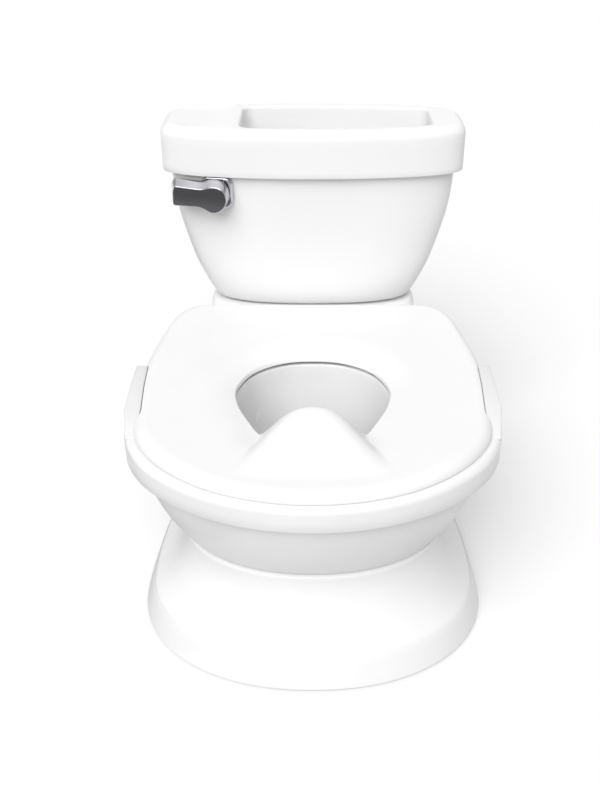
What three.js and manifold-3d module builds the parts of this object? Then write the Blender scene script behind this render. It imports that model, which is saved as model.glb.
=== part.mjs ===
// A child's potty training chair in the shape of a small toilet, in millimetres.
// +Z is up, the child faces -Y, and the origin is on the floor under the middle of the chair.
// It comes apart as on a bench: pedestal, bowl shell, lift-out pot, lift-off seat ring, tank,
// tank lid with a wipes tray, and a sprung flush lever that presses a sound module's plunger.
import * as THREE from "three";
import { mergeVertices } from "three/addons/utils/BufferGeometryUtils.js";
import Module from "manifold-3d";

const wasm = await Module();
wasm.setup();

// ---------------------------------------------------------------- driving dimensions
const SIDES = 36; // points round every large outline
const WALL = 3; // moulded wall
const GAP = 0.3; // between two pieces that touch

const TOTAL_HEIGHT = 400;
const FLOOR_GAP = 1.5; // the skirt hangs this far above the floor, on its pads
const CREASE_Z = 30; // top of the pedestal's upright skirt
const JOIN_Z = 95; // where the bowl shell stands on the pedestal
const RIM_Z = [180, 197, 203]; // rim band: lower edge, start of the shoulder, top
const DECK_Z = 200; // deck inside the rim, which carries the pot
const RIM_SHOULDER = 6;
const RIM_OVERHANG = 13; // rim band stands proud of the bowl wall
const PLINTH_Z = 209; // top of the tank's plinth on the rear deck

const HOLE_FRONT_Y = -141;
const SEAT_SKIRT_Z = 203.4;
const SEAT_LIP_Z = 206.2; // lower edge of the seat's inner lip
const SEAT_THICKNESS = 3.2;
const GUARD = { rise: 30, halfWidth: 46, run: 56, lean: 0.28 }; // splash guard on the seat's front

const EAR = { top: 215, rearY: -18, flatFrontY: -94, footY: -124 }; // the pot's lifting ears
const POT_FLOOR_Z = 108;
const POT_WALL = 2.5;

const TANK_MID_Y = 164.5;
const TANK_TOP_Z = 362;
const TANK_WALL = 2.8;
const LID_SKIRT_Z = 354;
const LID = { halfWidth: 152, halfDepth: 59.5, power: 6, bow: 15, round: 10 };
const TRAY = { left: -72, right: 118, frontLip: 15, rearLip: 19, floor: 340, corner: 12 };

const LEVER = { x: -95, y: 118.1, z: 338, turn: -0.186 }; // pivot on the tank's front wall
const SHAFT_RADIUS = 4;
const CRANK_V = 42; // how far inside the wall the crank sits
const CRANK_DROP = 14; // from the shaft down to the ball that presses the plunger
const BALL_RADIUS = 3.2;

const CASE = { left: -74, right: -16, front: 151, rear: 201.5, low: 246, high: 334, wall: 1.8 };
const CELL = { radius: 5.25, length: 44.5, y: 196.4, z: [296, 309.5] };
const DOOR = { left: -74, right: -16, low: 280, high: 322, screwZ: 285.6 };
const SPEAKER = { x: -45, z: 263, radius: 13 };

// ---------------------------------------------------------------- materials
const plastic = (color, roughness, metalness = 0) =>
  new THREE.MeshStandardMaterial({ color, roughness, metalness });
const white = plastic(0xf6f6f6, 0.35);
const softWhite = plastic(0xf7f7f7, 0.45);
const potWhite = plastic(0xeeeeee, 0.4);
const chrome = plastic(0xd8d8d8, 0.12, 1);
const steel = plastic(0xb8babd, 0.35, 1);
const greyRubber = plastic(0x8c8f92, 0.9);
const innerGrey = plastic(0xc9cbcd, 0.55);
const boardGreen = plastic(0x2f6b46, 0.6);
const cellBlack = plastic(0x2b2b2e, 0.45);
const black = plastic(0x2a2a2c, 0.7);

// ---------------------------------------------------------------- solids
function solidOf(geometry) {
  const bare = geometry.clone();
  bare.deleteAttribute("normal");
  bare.deleteAttribute("uv");
  const merged = mergeVertices(bare, 1e-4);
  return new wasm.Manifold(
    new wasm.Mesh({
      numProp: 3,
      vertProperties: merged.attributes.position.array,
      triVerts: new Uint32Array(merged.index.array),
    }),
  );
}

function geometryOf(solid) {
  const mesh = solid.getMesh();
  return new THREE.BufferGeometry()
    .setAttribute("position", new THREE.BufferAttribute(mesh.vertProperties, 3))
    .setIndex(new THREE.BufferAttribute(mesh.triVerts, 1));
}

const group = new THREE.Group();

function add(name, solid, material, parent = group) {
  const mesh = new THREE.Mesh(geometryOf(solid), material);
  mesh.name = name;
  parent.add(mesh);
}

// A round bar along Z, between two heights.
function bar(radius, low, high, x = 0, y = 0, sides = 20) {
  const shape = new THREE.CylinderGeometry(radius, radius, high - low, sides);
  shape.rotateX(Math.PI / 2);
  return solidOf(shape.translate(x, y, (low + high) / 2));
}

// A round bar along X or Y.
const barX = (radius, low, high, y, z, sides = 20) =>
  bar(radius, low, high, 0, 0, sides).rotate([0, 90, 0]).translate([0, y, z]);
const barY = (radius, low, high, x, z, sides = 20) =>
  bar(radius, low, high, 0, 0, sides).rotate([-90, 0, 0]).translate([x, 0, z]);

function block(left, right, front, rear, low, high) {
  const shape = new THREE.BoxGeometry(right - left, rear - front, high - low);
  return solidOf(
    shape.translate((left + right) / 2, (front + rear) / 2, (low + high) / 2),
  );
}

// A flat shape with rounded corners, extruded along Z.
function roundedBlock(left, right, front, rear, low, high, corner) {
  const shape = new THREE.Shape();
  shape.moveTo(left + corner, front);
  shape.lineTo(right - corner, front);
  shape.absarc(right - corner, front + corner, corner, -Math.PI / 2, 0);
  shape.absarc(right - corner, rear - corner, corner, 0, Math.PI / 2);
  shape.absarc(left + corner, rear - corner, corner, Math.PI / 2, Math.PI);
  shape.absarc(left + corner, front + corner, corner, Math.PI, 1.5 * Math.PI);
  const made = new THREE.ExtrudeGeometry(shape, {
    depth: high - low,
    bevelEnabled: false,
    curveSegments: 4,
  });
  return solidOf(made.translate(0, 0, low));
}

function extruded(points, low, high) {
  const shape = new THREE.Shape(points.map(([x, y]) => new THREE.Vector2(x, y)));
  const made = new THREE.ExtrudeGeometry(shape, { depth: high - low, bevelEnabled: false });
  return solidOf(made.translate(0, 0, low));
}

// A pan-head screw along +Z, its head's top face at z = 0 and its shank going up.
function screw(headRadius, headHeight, shankRadius, length) {
  const profile = [
    [0, 0],
    [headRadius * 0.85, 0],
    [headRadius, headHeight],
    [shankRadius, headHeight],
    [shankRadius, length - shankRadius],
    [0, length],
  ].map(([r, z]) => new THREE.Vector2(r, z));
  const made = new THREE.LatheGeometry(profile, 8);
  const turned = solidOf(made.rotateX(Math.PI / 2));
  const upright = turned.volume() < 0 ? turned.mirror([1, 0, 0]) : turned;
  const slot = headRadius * 0.6;
  return upright.subtract(block(-slot, slot, -0.6, 0.6, -1, 0.9));
}

// ---------------------------------------------------------------- outlines and lofts
// Every outline starts at the front and runs anticlockwise seen from above, evenly spaced.
const evenly = (points) =>
  new THREE.CatmullRomCurve3(points, true).getSpacedPoints(SIDES).slice(0, SIDES);

function ovalPoint(angle, { halfWidth, frontY, rearY, centreY, power = 2, bow = 0 }) {
  const across = Math.sign(Math.cos(angle)) * Math.abs(Math.cos(angle)) ** (2 / power);
  const along = Math.sign(Math.sin(angle)) * Math.abs(Math.sin(angle)) ** (2 / power);
  const reach = along < 0 ? centreY - frontY : rearY - centreY;
  const y = centreY + (reach - bow * across * across) * along;
  return new THREE.Vector3(halfWidth * across, y, 0);
}

function ovalPoints(count, plan) {
  const points = [];
  for (let i = 0; i < count; i += 1) {
    points.push(ovalPoint((i / count) * 2 * Math.PI - Math.PI / 2, plan));
  }
  return points;
}

const egg = (plan) => evenly(ovalPoints(2 * SIDES, plan));

// A near-rectangle with bowed long sides: its points gather at the corners.
const bowed = (plan) => ovalPoints(SIDES, plan);

// Half an outline, front to rear on the +X side, mirrored to the other side.
function mirrored(half) {
  const right = half.map(([x, y]) => new THREE.Vector3(x, y, 0));
  const left = half.slice(1, -1).reverse().map(([x, y]) => new THREE.Vector3(-x, y, 0));
  return evenly([...right, ...left]);
}

function inset(outline, distance) {
  return outline.map((point, i) => {
    const next = outline[(i + 1) % SIDES];
    const previous = outline[(i + SIDES - 1) % SIDES];
    const along = next.clone().sub(previous).normalize();
    return point.clone().add(new THREE.Vector3(-along.y, along.x, 0).multiplyScalar(distance));
  });
}

const at = (outline, z) => outline.map((point) => new THREE.Vector3(point.x, point.y, z));
const mix = (from, to, share) => from.map((point, i) => point.clone().lerp(to[i], share));

// A surface through a list of rings: closed on itself like a tyre, or capped at both ends.
function loft(rings, closed = false) {
  const position = rings.flat().flatMap((point) => [point.x, point.y, point.z]);
  const index = [];
  const spans = closed ? rings.length : rings.length - 1;
  for (let row = 0; row < spans; row += 1) {
    const here = row * SIDES;
    const above = ((row + 1) % rings.length) * SIDES;
    for (let i = 0; i < SIDES; i += 1) {
      const next = (i + 1) % SIDES;
      index.push(here + i, here + next, above + next, here + i, above + next, above + i);
    }
  }
  if (!closed) {
    for (const [row, turn] of [[0, 1], [rings.length - 1, -1]]) {
      const middle = new THREE.Vector3();
      rings[row].forEach((point) => middle.addScaledVector(point, 1 / SIDES));
      const centre = position.push(middle.x, middle.y, middle.z) / 3 - 1;
      for (let i = 0; i < SIDES; i += 1) {
        const pair = [row * SIDES + i, row * SIDES + ((i + 1) % SIDES)];
        index.push(centre, ...(turn > 0 ? pair.reverse() : pair));
      }
    }
  }
  const made = new THREE.BufferGeometry()
    .setAttribute("position", new THREE.Float32BufferAttribute(position, 3))
    .setIndex(index);
  const solid = solidOf(made);
  if (solid.volume() >= 0) return solid;
  made.setIndex(index.reverse());
  return solidOf(made);
}

const prism = (outline, low, high) => loft([at(outline, low), at(outline, high)]);

// ---------------------------------------------------------------- main outlines
const FOOT = { halfWidth: 163, frontY: -222, rearY: 178, centreY: -91, power: 2.15 };
const footOutline = egg(FOOT);
const creaseOutline = inset(footOutline, 10);
const joinOutline = egg({ halfWidth: 116, frontY: -176, rearY: 150, centreY: -91, power: 2.15 });

const rimOutline = mirrored([
  [0, -224],
  [43, -219.6],
  [83, -206.7],
  [117, -186.2],
  [144, -159.5],
  [160.3, -128.4],
  [166, -95],
  [167, -60],
  [166, -28],
  [161, 10],
  [153, 45],
  [145, 76],
  [135, 100],
  [118, 117],
  [111, 135],
  [110, 158],
  [105, 182],
  [91, 200],
  [58, 209],
  [0, 211],
]);

const seatOutline = mirrored([
  [0, -218.5],
  [43, -213.6],
  [80, -201],
  [112, -180.5],
  [137, -154.5],
  [152, -127],
  [157, -95],
  [159, -60],
  [159.5, -20],
  [156.5, 12],
  [151, 46],
  [145, 76],
  [137, 96],
  [123, 108],
  [103, 111],
  [70, 111.4],
  [0, 111.5],
]);

const holeOutline = mirrored([
  [0, HOLE_FRONT_Y],
  [20, -140],
  [36, -135],
  [46, -125],
  [55, -109.6],
  [63.5, -92],
  [69, -72],
  [70, -56],
  [66, -39],
  [57, -21],
  [43, -8],
  [23, 1.5],
  [0, 4],
]);

// ---------------------------------------------------------------- pot ears
const EAR_PLAN = [
  [155.6, EAR.rearY],
  [154.2, -56],
  [151.2, EAR.flatFrontY],
  [151.6, EAR.footY],
  [161.2, EAR.footY],
  [165.6, EAR.flatFrontY],
  [166.7, -56],
  [166.3, EAR.rearY],
];

// One ear's solid between two heights, grown on every side by a clearance.
function ear(side, low, clearance) {
  const grown = EAR_PLAN.map(([x, y], i) => {
    const outwards = i < 4 ? -1 : 1;
    const end = y === EAR.rearY ? 1 : y === EAR.footY ? -1 : 0;
    return [side * (x + outwards * clearance), y + end * clearance];
  });
  if (side < 0) grown.reverse();
  const upright = extruded(grown, low, EAR.top + clearance);
  const slope = Math.atan2(EAR.top - RIM_Z[2], EAR.flatFrontY - EAR.footY);
  const ramp = block(-40, 40, -60, 0, 0, 40)
    .rotate([THREE.MathUtils.radToDeg(slope), 0, 0])
    .translate([side * 158, EAR.flatFrontY - clearance, EAR.top + clearance * 0.4]);
  return upright.subtract(ramp);
}

// ---------------------------------------------------------------- pedestal
const SCREW_PLACES = [
  [86, -124],
  [-86, -124],
  [70, 60],
  [-70, 60],
];
const PAD_PLACES = [
  [96, -162],
  [-96, -162],
  [104, 78],
  [-104, 78],
];
const SHELF_Z = JOIN_Z - 4;
const SPIGOT = 2.6; // the bowl shell steps in by this much to sit inside the pedestal

function makePedestal() {
  const flare = (share) => mix(creaseOutline, inset(joinOutline, -3.5), share);
  const outer = [
    at(footOutline, FLOOR_GAP),
    at(inset(footOutline, 8), CREASE_Z - 4),
    at(creaseOutline, CREASE_Z),
    at(flare(0.42), 44),
    at(flare(0.74), 62),
    at(flare(1), JOIN_Z),
  ];
  const inner = [
    at(inset(joinOutline, SPIGOT - GAP), JOIN_Z),
    at(inset(joinOutline, SPIGOT - GAP), SHELF_Z),
    at(inset(joinOutline, 16), SHELF_Z),
    at(inset(joinOutline, 16), SHELF_Z - WALL),
    at(inset(flare(1), WALL), SHELF_Z - WALL),
    at(inset(flare(0.74), WALL), 60),
    at(inset(flare(0.42), WALL), 41),
    at(inset(footOutline, 13), CREASE_Z - 3),
    at(inset(footOutline, 5.5), 7),
    at(inset(footOutline, 30), 7),
    at(inset(footOutline, 30), 4),
    at(inset(footOutline, WALL), 4),
    at(inset(footOutline, WALL), FLOOR_GAP),
  ];
  let solid = loft([...outer, ...inner], true);
  for (const [x, y] of SCREW_PLACES) solid = solid.subtract(bar(2.4, 80, 100, x, y, 8));
  for (const [x, y] of PAD_PLACES) solid = solid.subtract(bar(3.4, 2, 9, x, y, 8));
  return solid;
}
add("pedestal", makePedestal(), white);

PAD_PLACES.forEach(([x, y], i) => {
  const name = ["front_right", "front_left", "rear_right", "rear_left"][i];
  const pad = bar(8.5, 0, 4 - GAP, x, y, 16).add(bar(3.1, 3, 8.6, x, y, 8));
  add(`foot_pad_${name}`, pad, greyRubber);
});

// ---------------------------------------------------------------- bowl shell
function makeBowlShell() {
  const under = inset(rimOutline, RIM_OVERHANG);
  const wallAt = (z) => {
    const drop = (RIM_Z[0] - z) / (RIM_Z[0] - JOIN_Z);
    return mix(under, joinOutline, drop ** 1.9);
  };
  const outer = [RIM_Z[0], 152, 122, JOIN_Z + GAP].map((z) => at(wallAt(z), z));
  const spigot = [
    at(inset(joinOutline, SPIGOT), JOIN_Z + GAP),
    at(inset(joinOutline, SPIGOT), SHELF_Z + GAP),
    at(inset(joinOutline, SPIGOT + WALL), SHELF_Z + GAP),
  ];
  const inner = [122, 152, RIM_Z[0]].map((z) => at(inset(wallAt(z), WALL), z));
  const well = inset(holeOutline, -6);
  const rings = [
    at(well, DECK_Z),
    at(inset(rimOutline, RIM_SHOULDER + 4), DECK_Z),
    at(inset(rimOutline, RIM_SHOULDER + 3), RIM_Z[2]),
    at(inset(rimOutline, RIM_SHOULDER), RIM_Z[2]),
    at(inset(rimOutline, 1.8), RIM_Z[2] - 1.8),
    at(rimOutline, RIM_Z[1]),
    at(rimOutline, RIM_Z[0]),
    at(inset(rimOutline, WALL), RIM_Z[0]),
    at(inset(rimOutline, WALL), DECK_Z - WALL),
    at(inset(rimOutline, RIM_OVERHANG - 0.5), DECK_Z - WALL),
    ...outer,
    ...spigot,
    ...inner,
    at(inset(rimOutline, RIM_OVERHANG + WALL), DECK_Z - WALL),
    at(well, DECK_Z - WALL),
  ];
  let solid = loft(rings, true);

  // The plinth that carries the tank, hollow from below.
  const plinth = (grow, low, high) =>
    loft([
      at(bowed(plinthPlan(111 + grow, 114 - grow, 207 + grow)), low),
      at(bowed(plinthPlan(107 + grow, 117.5 - grow, 204 + grow)), high),
    ]);
  solid = solid.add(plinth(0, DECK_Z - 1, PLINTH_Z));
  solid = solid.subtract(plinth(-WALL, DECK_Z - 8, PLINTH_Z - WALL));
  for (const [x, y] of TANK_SCREW_PLACES) {
    solid = solid.subtract(bar(2.4, PLINTH_Z - 5, PLINTH_Z + 2, x, y, 8));
  }

  // Posts for the screws that come up through the pedestal's shelf.
  for (const [x, y] of SCREW_PLACES) {
    const across = [Math.min(x, x * 1.45), Math.max(x, x * 1.45)];
    const rib = block(...across, y - 1.5, y + 1.5, SHELF_Z + GAP, 112);
    const post = bar(5, SHELF_Z + GAP, 112, x, y, 12).add(rib);
    solid = solid.add(post.intersect(prism(inset(joinOutline, SPIGOT + 1), SHELF_Z, 113)));
    solid = solid.subtract(bar(2.2, SHELF_Z - 5, 108, x, y, 8));
  }
  for (const side of [1, -1]) solid = solid.subtract(ear(side, DECK_Z, 0.5));
  // The pot's arms cross the inner edge of the rim to reach the ears.
  for (const side of [1, -1]) {
    const across = [Math.min(side * 140, side * 160), Math.max(side * 140, side * 160)];
    solid = solid.subtract(block(...across, -100.5, -34.5, DECK_Z, RIM_Z[2] + 1));
  }
  return solid;
}
function plinthPlan(halfWidth, frontY, rearY) {
  return { halfWidth, frontY, rearY, centreY: (frontY + rearY) / 2, power: 4, bow: 7 };
}
const TANK_SCREW_PLACES = [
  [62, 162],
  [-62, 162],
];
add("bowl_shell", makeBowlShell(), white);

SCREW_PLACES.forEach(([x, y], i) => {
  const made = screw(4, 2.6, 1.9, 18).translate([x, y, SHELF_Z - WALL - GAP - 2.6]);
  add(`base_screw_${i + 1}`, made, steel);
});

// ---------------------------------------------------------------- pot
function makePot() {
  const narrow = egg({ halfWidth: 55, frontY: -122, rearY: -16, centreY: -67.5, power: 2.2 });
  const wall = (share) => mix(holeOutline, narrow, share);
  const top = RIM_Z[2];
  const low = DECK_Z + GAP;
  const flange = inset(holeOutline, -22);
  const rings = [
    at(inset(narrow, 14), POT_FLOOR_Z),
    at(inset(narrow, 4), POT_FLOOR_Z + 2.5),
    at(wall(0.97), POT_FLOOR_Z + 12),
    at(wall(0.5), 150),
    at(wall(0.1), 190),
    at(holeOutline, top - 1),
    at(inset(holeOutline, -1.5), top),
    at(flange, top),
    at(flange, low),
    at(inset(holeOutline, -POT_WALL), low),
    at(inset(wall(0.1), -POT_WALL), 190),
    at(inset(wall(0.5), -POT_WALL), 150),
    at(inset(wall(0.97), -POT_WALL), POT_FLOOR_Z + 11),
    at(inset(narrow, 3), POT_FLOOR_Z - 0.5),
    at(inset(narrow, 14), POT_FLOOR_Z - POT_WALL),
  ];
  let solid = loft(rings);
  for (const side of [1, -1]) {
    const arm = [Math.min(side * 80, side * 156), Math.max(side * 80, side * 156)];
    const reach = block(...arm, -100, -35, low, top);
    const mouth = prism(inset(holeOutline, -1.5), low - 1, top + 1);
    solid = solid.add(reach.subtract(mouth)).add(ear(side, low, 0));
  }
  return solid;
}
add("pot", makePot(), potWhite);

// ---------------------------------------------------------------- seat ring
function guardHeight(x, y) {
  const ahead = Math.max(0, HOLE_FRONT_Y - y + 1);
  const width = GUARD.halfWidth + 0.45 * ahead;
  const across = Math.max(0, 1 - (Math.abs(x) / width) ** 2.3) ** 1.3;
  const along = y > -100 ? 0 : Math.cos(Math.min(1, ahead / GUARD.run) * (Math.PI / 2)) ** 2;
  return GUARD.rise * across * along;
}

// Leg valleys: a shallow dip on each side of the splash guard.
function valleyDepth(x, y) {
  const across = Math.exp(-(((Math.abs(x) - 50) / 13) ** 2));
  return 2.5 * across * Math.exp(-(((y + 128) / 22) ** 2));
}

// Height of the seat's top, a share of the way from the hole's edge to the outer edge.
function seatTop(x, y, share, reach) {
  const crown = 217 + 0.026 * y;
  const toHole = share * reach;
  const toEdge = (1 - share) * reach;
  const fall = 3.5 + 4.4 * THREE.MathUtils.clamp((y + 75) / 70, 0, 1);
  const dish = fall * Math.max(0, 1 - toHole / 32) ** 2;
  const rollHeight = Math.min(9, crown - SEAT_SKIRT_Z - 1);
  const roll = rollHeight * (1 - Math.sqrt(1 - Math.max(0, 1 - toEdge / 12) ** 2));
  return crown - dish - roll - valleyDepth(x, y) + guardHeight(x, y);
}

const BUMPER_PLACES = [
  [65, -120, 210.4],
  [-65, -120, 210.4],
  [61, -12, 209.8],
  [-61, -12, 209.8],
];

const BUMPER_TOP = 205.9;
const EAR_CLEARANCE = 0.7; // between a lifting ear and the notch in the seat

function makeSeat() {
  const ring = (share, drop, outer = seatOutline) =>
    holeOutline.map((point, i) => {
      const reach = outer[i].distanceTo(point);
      const spot = point.clone().lerp(outer[i], share);
      const z = seatTop(spot.x, spot.y, share, reach) - drop;
      spot.y += GUARD.lean * guardHeight(spot.x, spot.y);
      return spot.setZ(z);
    });
  const shares = [0, 0.06, 0.16, 0.3, 0.5, 0.72, 0.86, 0.93, 0.975, 1];
  const top = shares.map((share) => ring(share, 0));
  const innerOutline = inset(seatOutline, WALL);
  const bottom = [0.97, 0.86, 0.5, 0.3, 0.16, 0.08].map((share) =>
    ring(share, SEAT_THICKNESS, innerOutline),
  );
  const lip = (distance) => at(inset(holeOutline, -distance), SEAT_LIP_Z);
  const rings = [
    lip(0),
    ...top,
    at(seatOutline, SEAT_SKIRT_Z),
    at(innerOutline, SEAT_SKIRT_Z),
    ...bottom,
    lip(WALL),
  ];
  let solid = loft(rings, true);
  for (const [x, y, high] of BUMPER_PLACES) {
    solid = solid.add(bar(6.5, BUMPER_TOP + GAP, high, x, y, 12));
    solid = solid.subtract(bar(2.3, BUMPER_TOP - 1, high - 1, x, y, 8));
  }
  // A notch beside each lifting ear, with its own wall down to the rim.
  const filled = loft([...top, at(seatOutline, SEAT_SKIRT_Z), at(holeOutline, SEAT_SKIRT_Z)], true);
  for (const side of [1, -1]) {
    const wall = filled.intersect(ear(side, SEAT_SKIRT_Z - 2, EAR_CLEARANCE + WALL));
    solid = solid.add(wall).subtract(ear(side, SEAT_SKIRT_Z - 2, EAR_CLEARANCE));
  }
  return solid;
}
add("seat", makeSeat(), softWhite);

BUMPER_PLACES.forEach(([x, y], i) => {
  const name = ["front_right", "front_left", "rear_right", "rear_left"][i];
  const bumper = bar(6, RIM_Z[2] + GAP, BUMPER_TOP, x, y, 12).add(bar(2, BUMPER_TOP - 1, 208, x, y, 8));
  add(`seat_bumper_${name}`, bumper, greyRubber);
});

// ---------------------------------------------------------------- tank body
// Half width, front and rear of the tank at each height.
const TANK_RINGS = [
  [PLINTH_Z + GAP, 85, 129, 199],
  [PLINTH_Z + 3, 98, 123, 205],
  [PLINTH_Z + 9, 107, 120, 208],
  [246, 121.5, 118.4, 211],
  [274, 131, 117.2, 213.3],
  [314, 141, 115.2, 216],
  [352, 144.5, 113, 218],
  [TANK_TOP_Z - GAP, 144.5, 113, 218],
];

function tankLoft(grow, rows = TANK_RINGS, lift = 0) {
  const rings = rows.map(([z, halfWidth, frontY, rearY], i) => {
    const plan = { halfWidth, frontY, rearY, centreY: TANK_MID_Y, power: 4, bow: 8 };
    return at(inset(bowed(plan), -grow), i === 0 ? z + lift : z);
  });
  return loft(rings);
}

function backDoorBlock(clearance) {
  const { left, right, low, high } = DOOR;
  const grown = [left - clearance, right + clearance, low - clearance, high + clearance];
  return roundedBlock(grown[0], grown[1], grown[2], grown[3], 0, 40, 5)
    .rotate([90, 0, 0])
    .translate([0, 230, 0]);
}

// A frame standing on the pivot, its Y axis pointing into the tank along the shaft.
const leverFrame = (solid) =>
  solid
    .rotate([0, 0, THREE.MathUtils.radToDeg(LEVER.turn)])
    .translate([LEVER.x, LEVER.y, LEVER.z]);

function makeTankBody() {
  const rows = [1, 2, 4, 5, 7].map((i) => TANK_RINGS[i]);
  const hollow = tankLoft(-TANK_WALL, rows);
  const mouth = hollow.intersect(block(-200, 200, 0, 300, 340, 400)).translate([0, 0, 12]);
  let solid = tankLoft(0).subtract(hollow).subtract(mouth);
  for (const [x, y] of TANK_SCREW_PLACES) {
    solid = solid.add(bar(5.5, PLINTH_Z + 1, 232, x, y, 12));
    solid = solid.subtract(bar(2.3, PLINTH_Z - 1, 228, x, y, 8));
  }
  for (const x of CASE_SCREW_X) {
    const post = barY(4.5, CASE_TAB_REAR + GAP, 214, x, CASE_SCREW_Z, 12);
    solid = solid.add(post.intersect(tankLoft(-1)));
    solid = solid.subtract(barY(1.9, 190, CASE_TAB_REAR + 8, x, CASE_SCREW_Z, 8));
  }
  solid = solid.subtract(backDoorBlock(0.4));
  solid = solid.subtract(leverFrame(barY(6.6, -10, 12, 0, 0, 20)));
  for (let row = -2; row <= 2; row += 1) {
    const half = 12 - 1.6 * row * row;
    const z = SPEAKER.z + row * 5;
    solid = solid.subtract(block(SPEAKER.x - half, SPEAKER.x + half, 190, 230, z - 1.1, z + 1.1));
  }
  return solid;
}
const CASE_SCREW_X = [CASE.left - 5.5, CASE.right + 5.5];
const CASE_SCREW_Z = 266;
const CASE_TAB_REAR = 194;
add("tank_body", makeTankBody(), white);

TANK_SCREW_PLACES.forEach(([x, y], i) => {
  const made = screw(4, 2.6, 1.9, 20).translate([x, y, PLINTH_Z - WALL - GAP - 2.6]);
  add(`tank_screw_${i + 1}`, made, steel);
});

// ---------------------------------------------------------------- battery door
const DOOR_SCREW_X = (DOOR.left + DOOR.right) / 2;

function makeBatteryDoor() {
  const panel = tankLoft(0).intersect(backDoorBlock(0)).subtract(tankLoft(-2.4));
  return panel.subtract(barY(1.9, 190, 230, DOOR_SCREW_X, DOOR.screwZ, 8));
}
add("battery_door", makeBatteryDoor(), white);
add(
  "battery_door_screw",
  screw(3.2, 1.8, 1.5, 16).rotate([90, 0, 0]).translate([DOOR_SCREW_X, 215.9, DOOR.screwZ]),
  steel,
);

// ---------------------------------------------------------------- sound module
function makeModuleCase() {
  const { left, right, front, rear, low, high, wall } = CASE;
  let solid = block(left, right, front, rear, low, high);
  solid = solid.subtract(block(left + wall, right - wall, front - 1, 184, low + wall, high - wall));
  solid = solid.subtract(block(left + wall, right - wall, 186, rear + 1, low + wall, high - wall));
  solid = solid.add(block(left + 1, right - 1, 185, rear, 277, 278.8));
  solid = solid.add(barY(3.4, 185, rear, DOOR_SCREW_X, DOOR.screwZ, 12));
  solid = solid.subtract(barY(1.8, 192, rear + 1, DOOR_SCREW_X, DOOR.screwZ, 8));
  solid = solid.subtract(barX(3.9, left - 1, left + wall + 1, PLUNGER.y, PLUNGER.z, 16));
  for (const x of CASE_SCREW_X) {
    const inner = x < left ? left + 1 : right - 1;
    const across = [Math.min(x - 4, inner), Math.max(x + 4, inner)];
    const tab = block(...across, CASE_TAB_REAR - 3, CASE_TAB_REAR, CASE_SCREW_Z - 5, CASE_SCREW_Z + 5);
    solid = solid.add(tab).subtract(barY(2.1, 180, 210, x, CASE_SCREW_Z, 8));
  }
  // Slots in the divider let the leads through to the battery box.
  return solid.subtract(block(left + 8, left + 20, 180, 190, low + 6, low + 12));
}
const PLUNGER = {
  y: LEVER.y + Math.cos(LEVER.turn) * CRANK_V,
  z: LEVER.z - CRANK_DROP,
  tip: LEVER.x - Math.sin(LEVER.turn) * CRANK_V + BALL_RADIUS + GAP,
};
add("sound_module_case", makeModuleCase(), innerGrey);

const COVER_SCREW_X = [CASE.left + 9, CASE.right - 9];
let cover = block(CASE.left, CASE.right, CASE.front - 2 - GAP, CASE.front - GAP, CASE.low, CASE.high);
for (const x of COVER_SCREW_X) cover = cover.subtract(barY(1.7, 140, 160, x, CASE.low + 8, 12));
add("sound_module_cover", cover, innerGrey);
COVER_SCREW_X.forEach((x, i) => {
  const made = screw(2.8, 1.6, 1.4, 10).rotate([-90, 0, 0]);
  add(`cover_screw_${i + 1}`, made.translate([x, CASE.front - 2 - 2 * GAP - 1.6, CASE.low + 8]), steel);
});
CASE_SCREW_X.forEach((x, i) => {
  const made = screw(3.2, 2, 1.6, 10).rotate([-90, 0, 0]);
  add(`case_screw_${i + 1}`, made.translate([x, CASE_TAB_REAR - 3 - GAP - 2, CASE_SCREW_Z]), steel);
});

add("circuit_board", block(CASE.left + 4, CASE.right - 4, 176, 177.6, 252, 326), boardGreen);

const magnet = barY(8, 189.5, 195, SPEAKER.x, SPEAKER.z, 16);
const frameRing = barY(SPEAKER.radius, 194.5, 200.5, SPEAKER.x, SPEAKER.z, 20);
const coneHollow = barY(SPEAKER.radius - 2.5, 197.5, 202, SPEAKER.x, SPEAKER.z, 20);
const dome = barY(5, 195, 199, SPEAKER.x, SPEAKER.z, 12);
add("speaker", magnet.add(frameRing).subtract(coneHollow).add(dome), black);

const SWITCH_LEFT = CASE.left + CASE.wall + GAP;
const switchBlock = block(
  SWITCH_LEFT, SWITCH_LEFT + 16, PLUNGER.y - 5, PLUNGER.y + 5, PLUNGER.z - 6, PLUNGER.z + 6,
);
const switchBore = barX(3.8, SWITCH_LEFT - 1, SWITCH_LEFT + 12, PLUNGER.y, PLUNGER.z, 12);
add("switch_body", switchBlock.subtract(switchBore), black);
add(
  "switch_plunger",
  barX(3.4, PLUNGER.tip, SWITCH_LEFT + 5, PLUNGER.y, PLUNGER.z, 12),
  innerGrey,
);

CELL.z.forEach((z, i) => {
  const left = (CASE.left + CASE.right - CELL.length) / 2;
  const tube = barX(CELL.radius, left, left + CELL.length - 1.2, CELL.y, z, 20);
  const end = barX(1.9, left + CELL.length - 1.5, left + CELL.length, CELL.y, z, 12);
  add(`battery_cell_${i + 1}`, tube.add(end), cellBlack);
});
[CASE.left + 2.3, CASE.right - 2.8].forEach((x, i) => {
  const strip = block(x, x + 0.5, CELL.y - 4, CELL.y + 4, CELL.z[0] - 5, CELL.z[1] + 5);
  const dimples = CELL.z.map((z) => {
    const inwards = i === 0 ? [x + 0.2, x + 3.7] : [x - 3, x + 0.3];
    return barX(2.2, ...inwards, CELL.y, z, 12);
  });
  add(`battery_contact_${i + 1}`, strip.add(dimples[0]).add(dimples[1]), steel);
});

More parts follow.
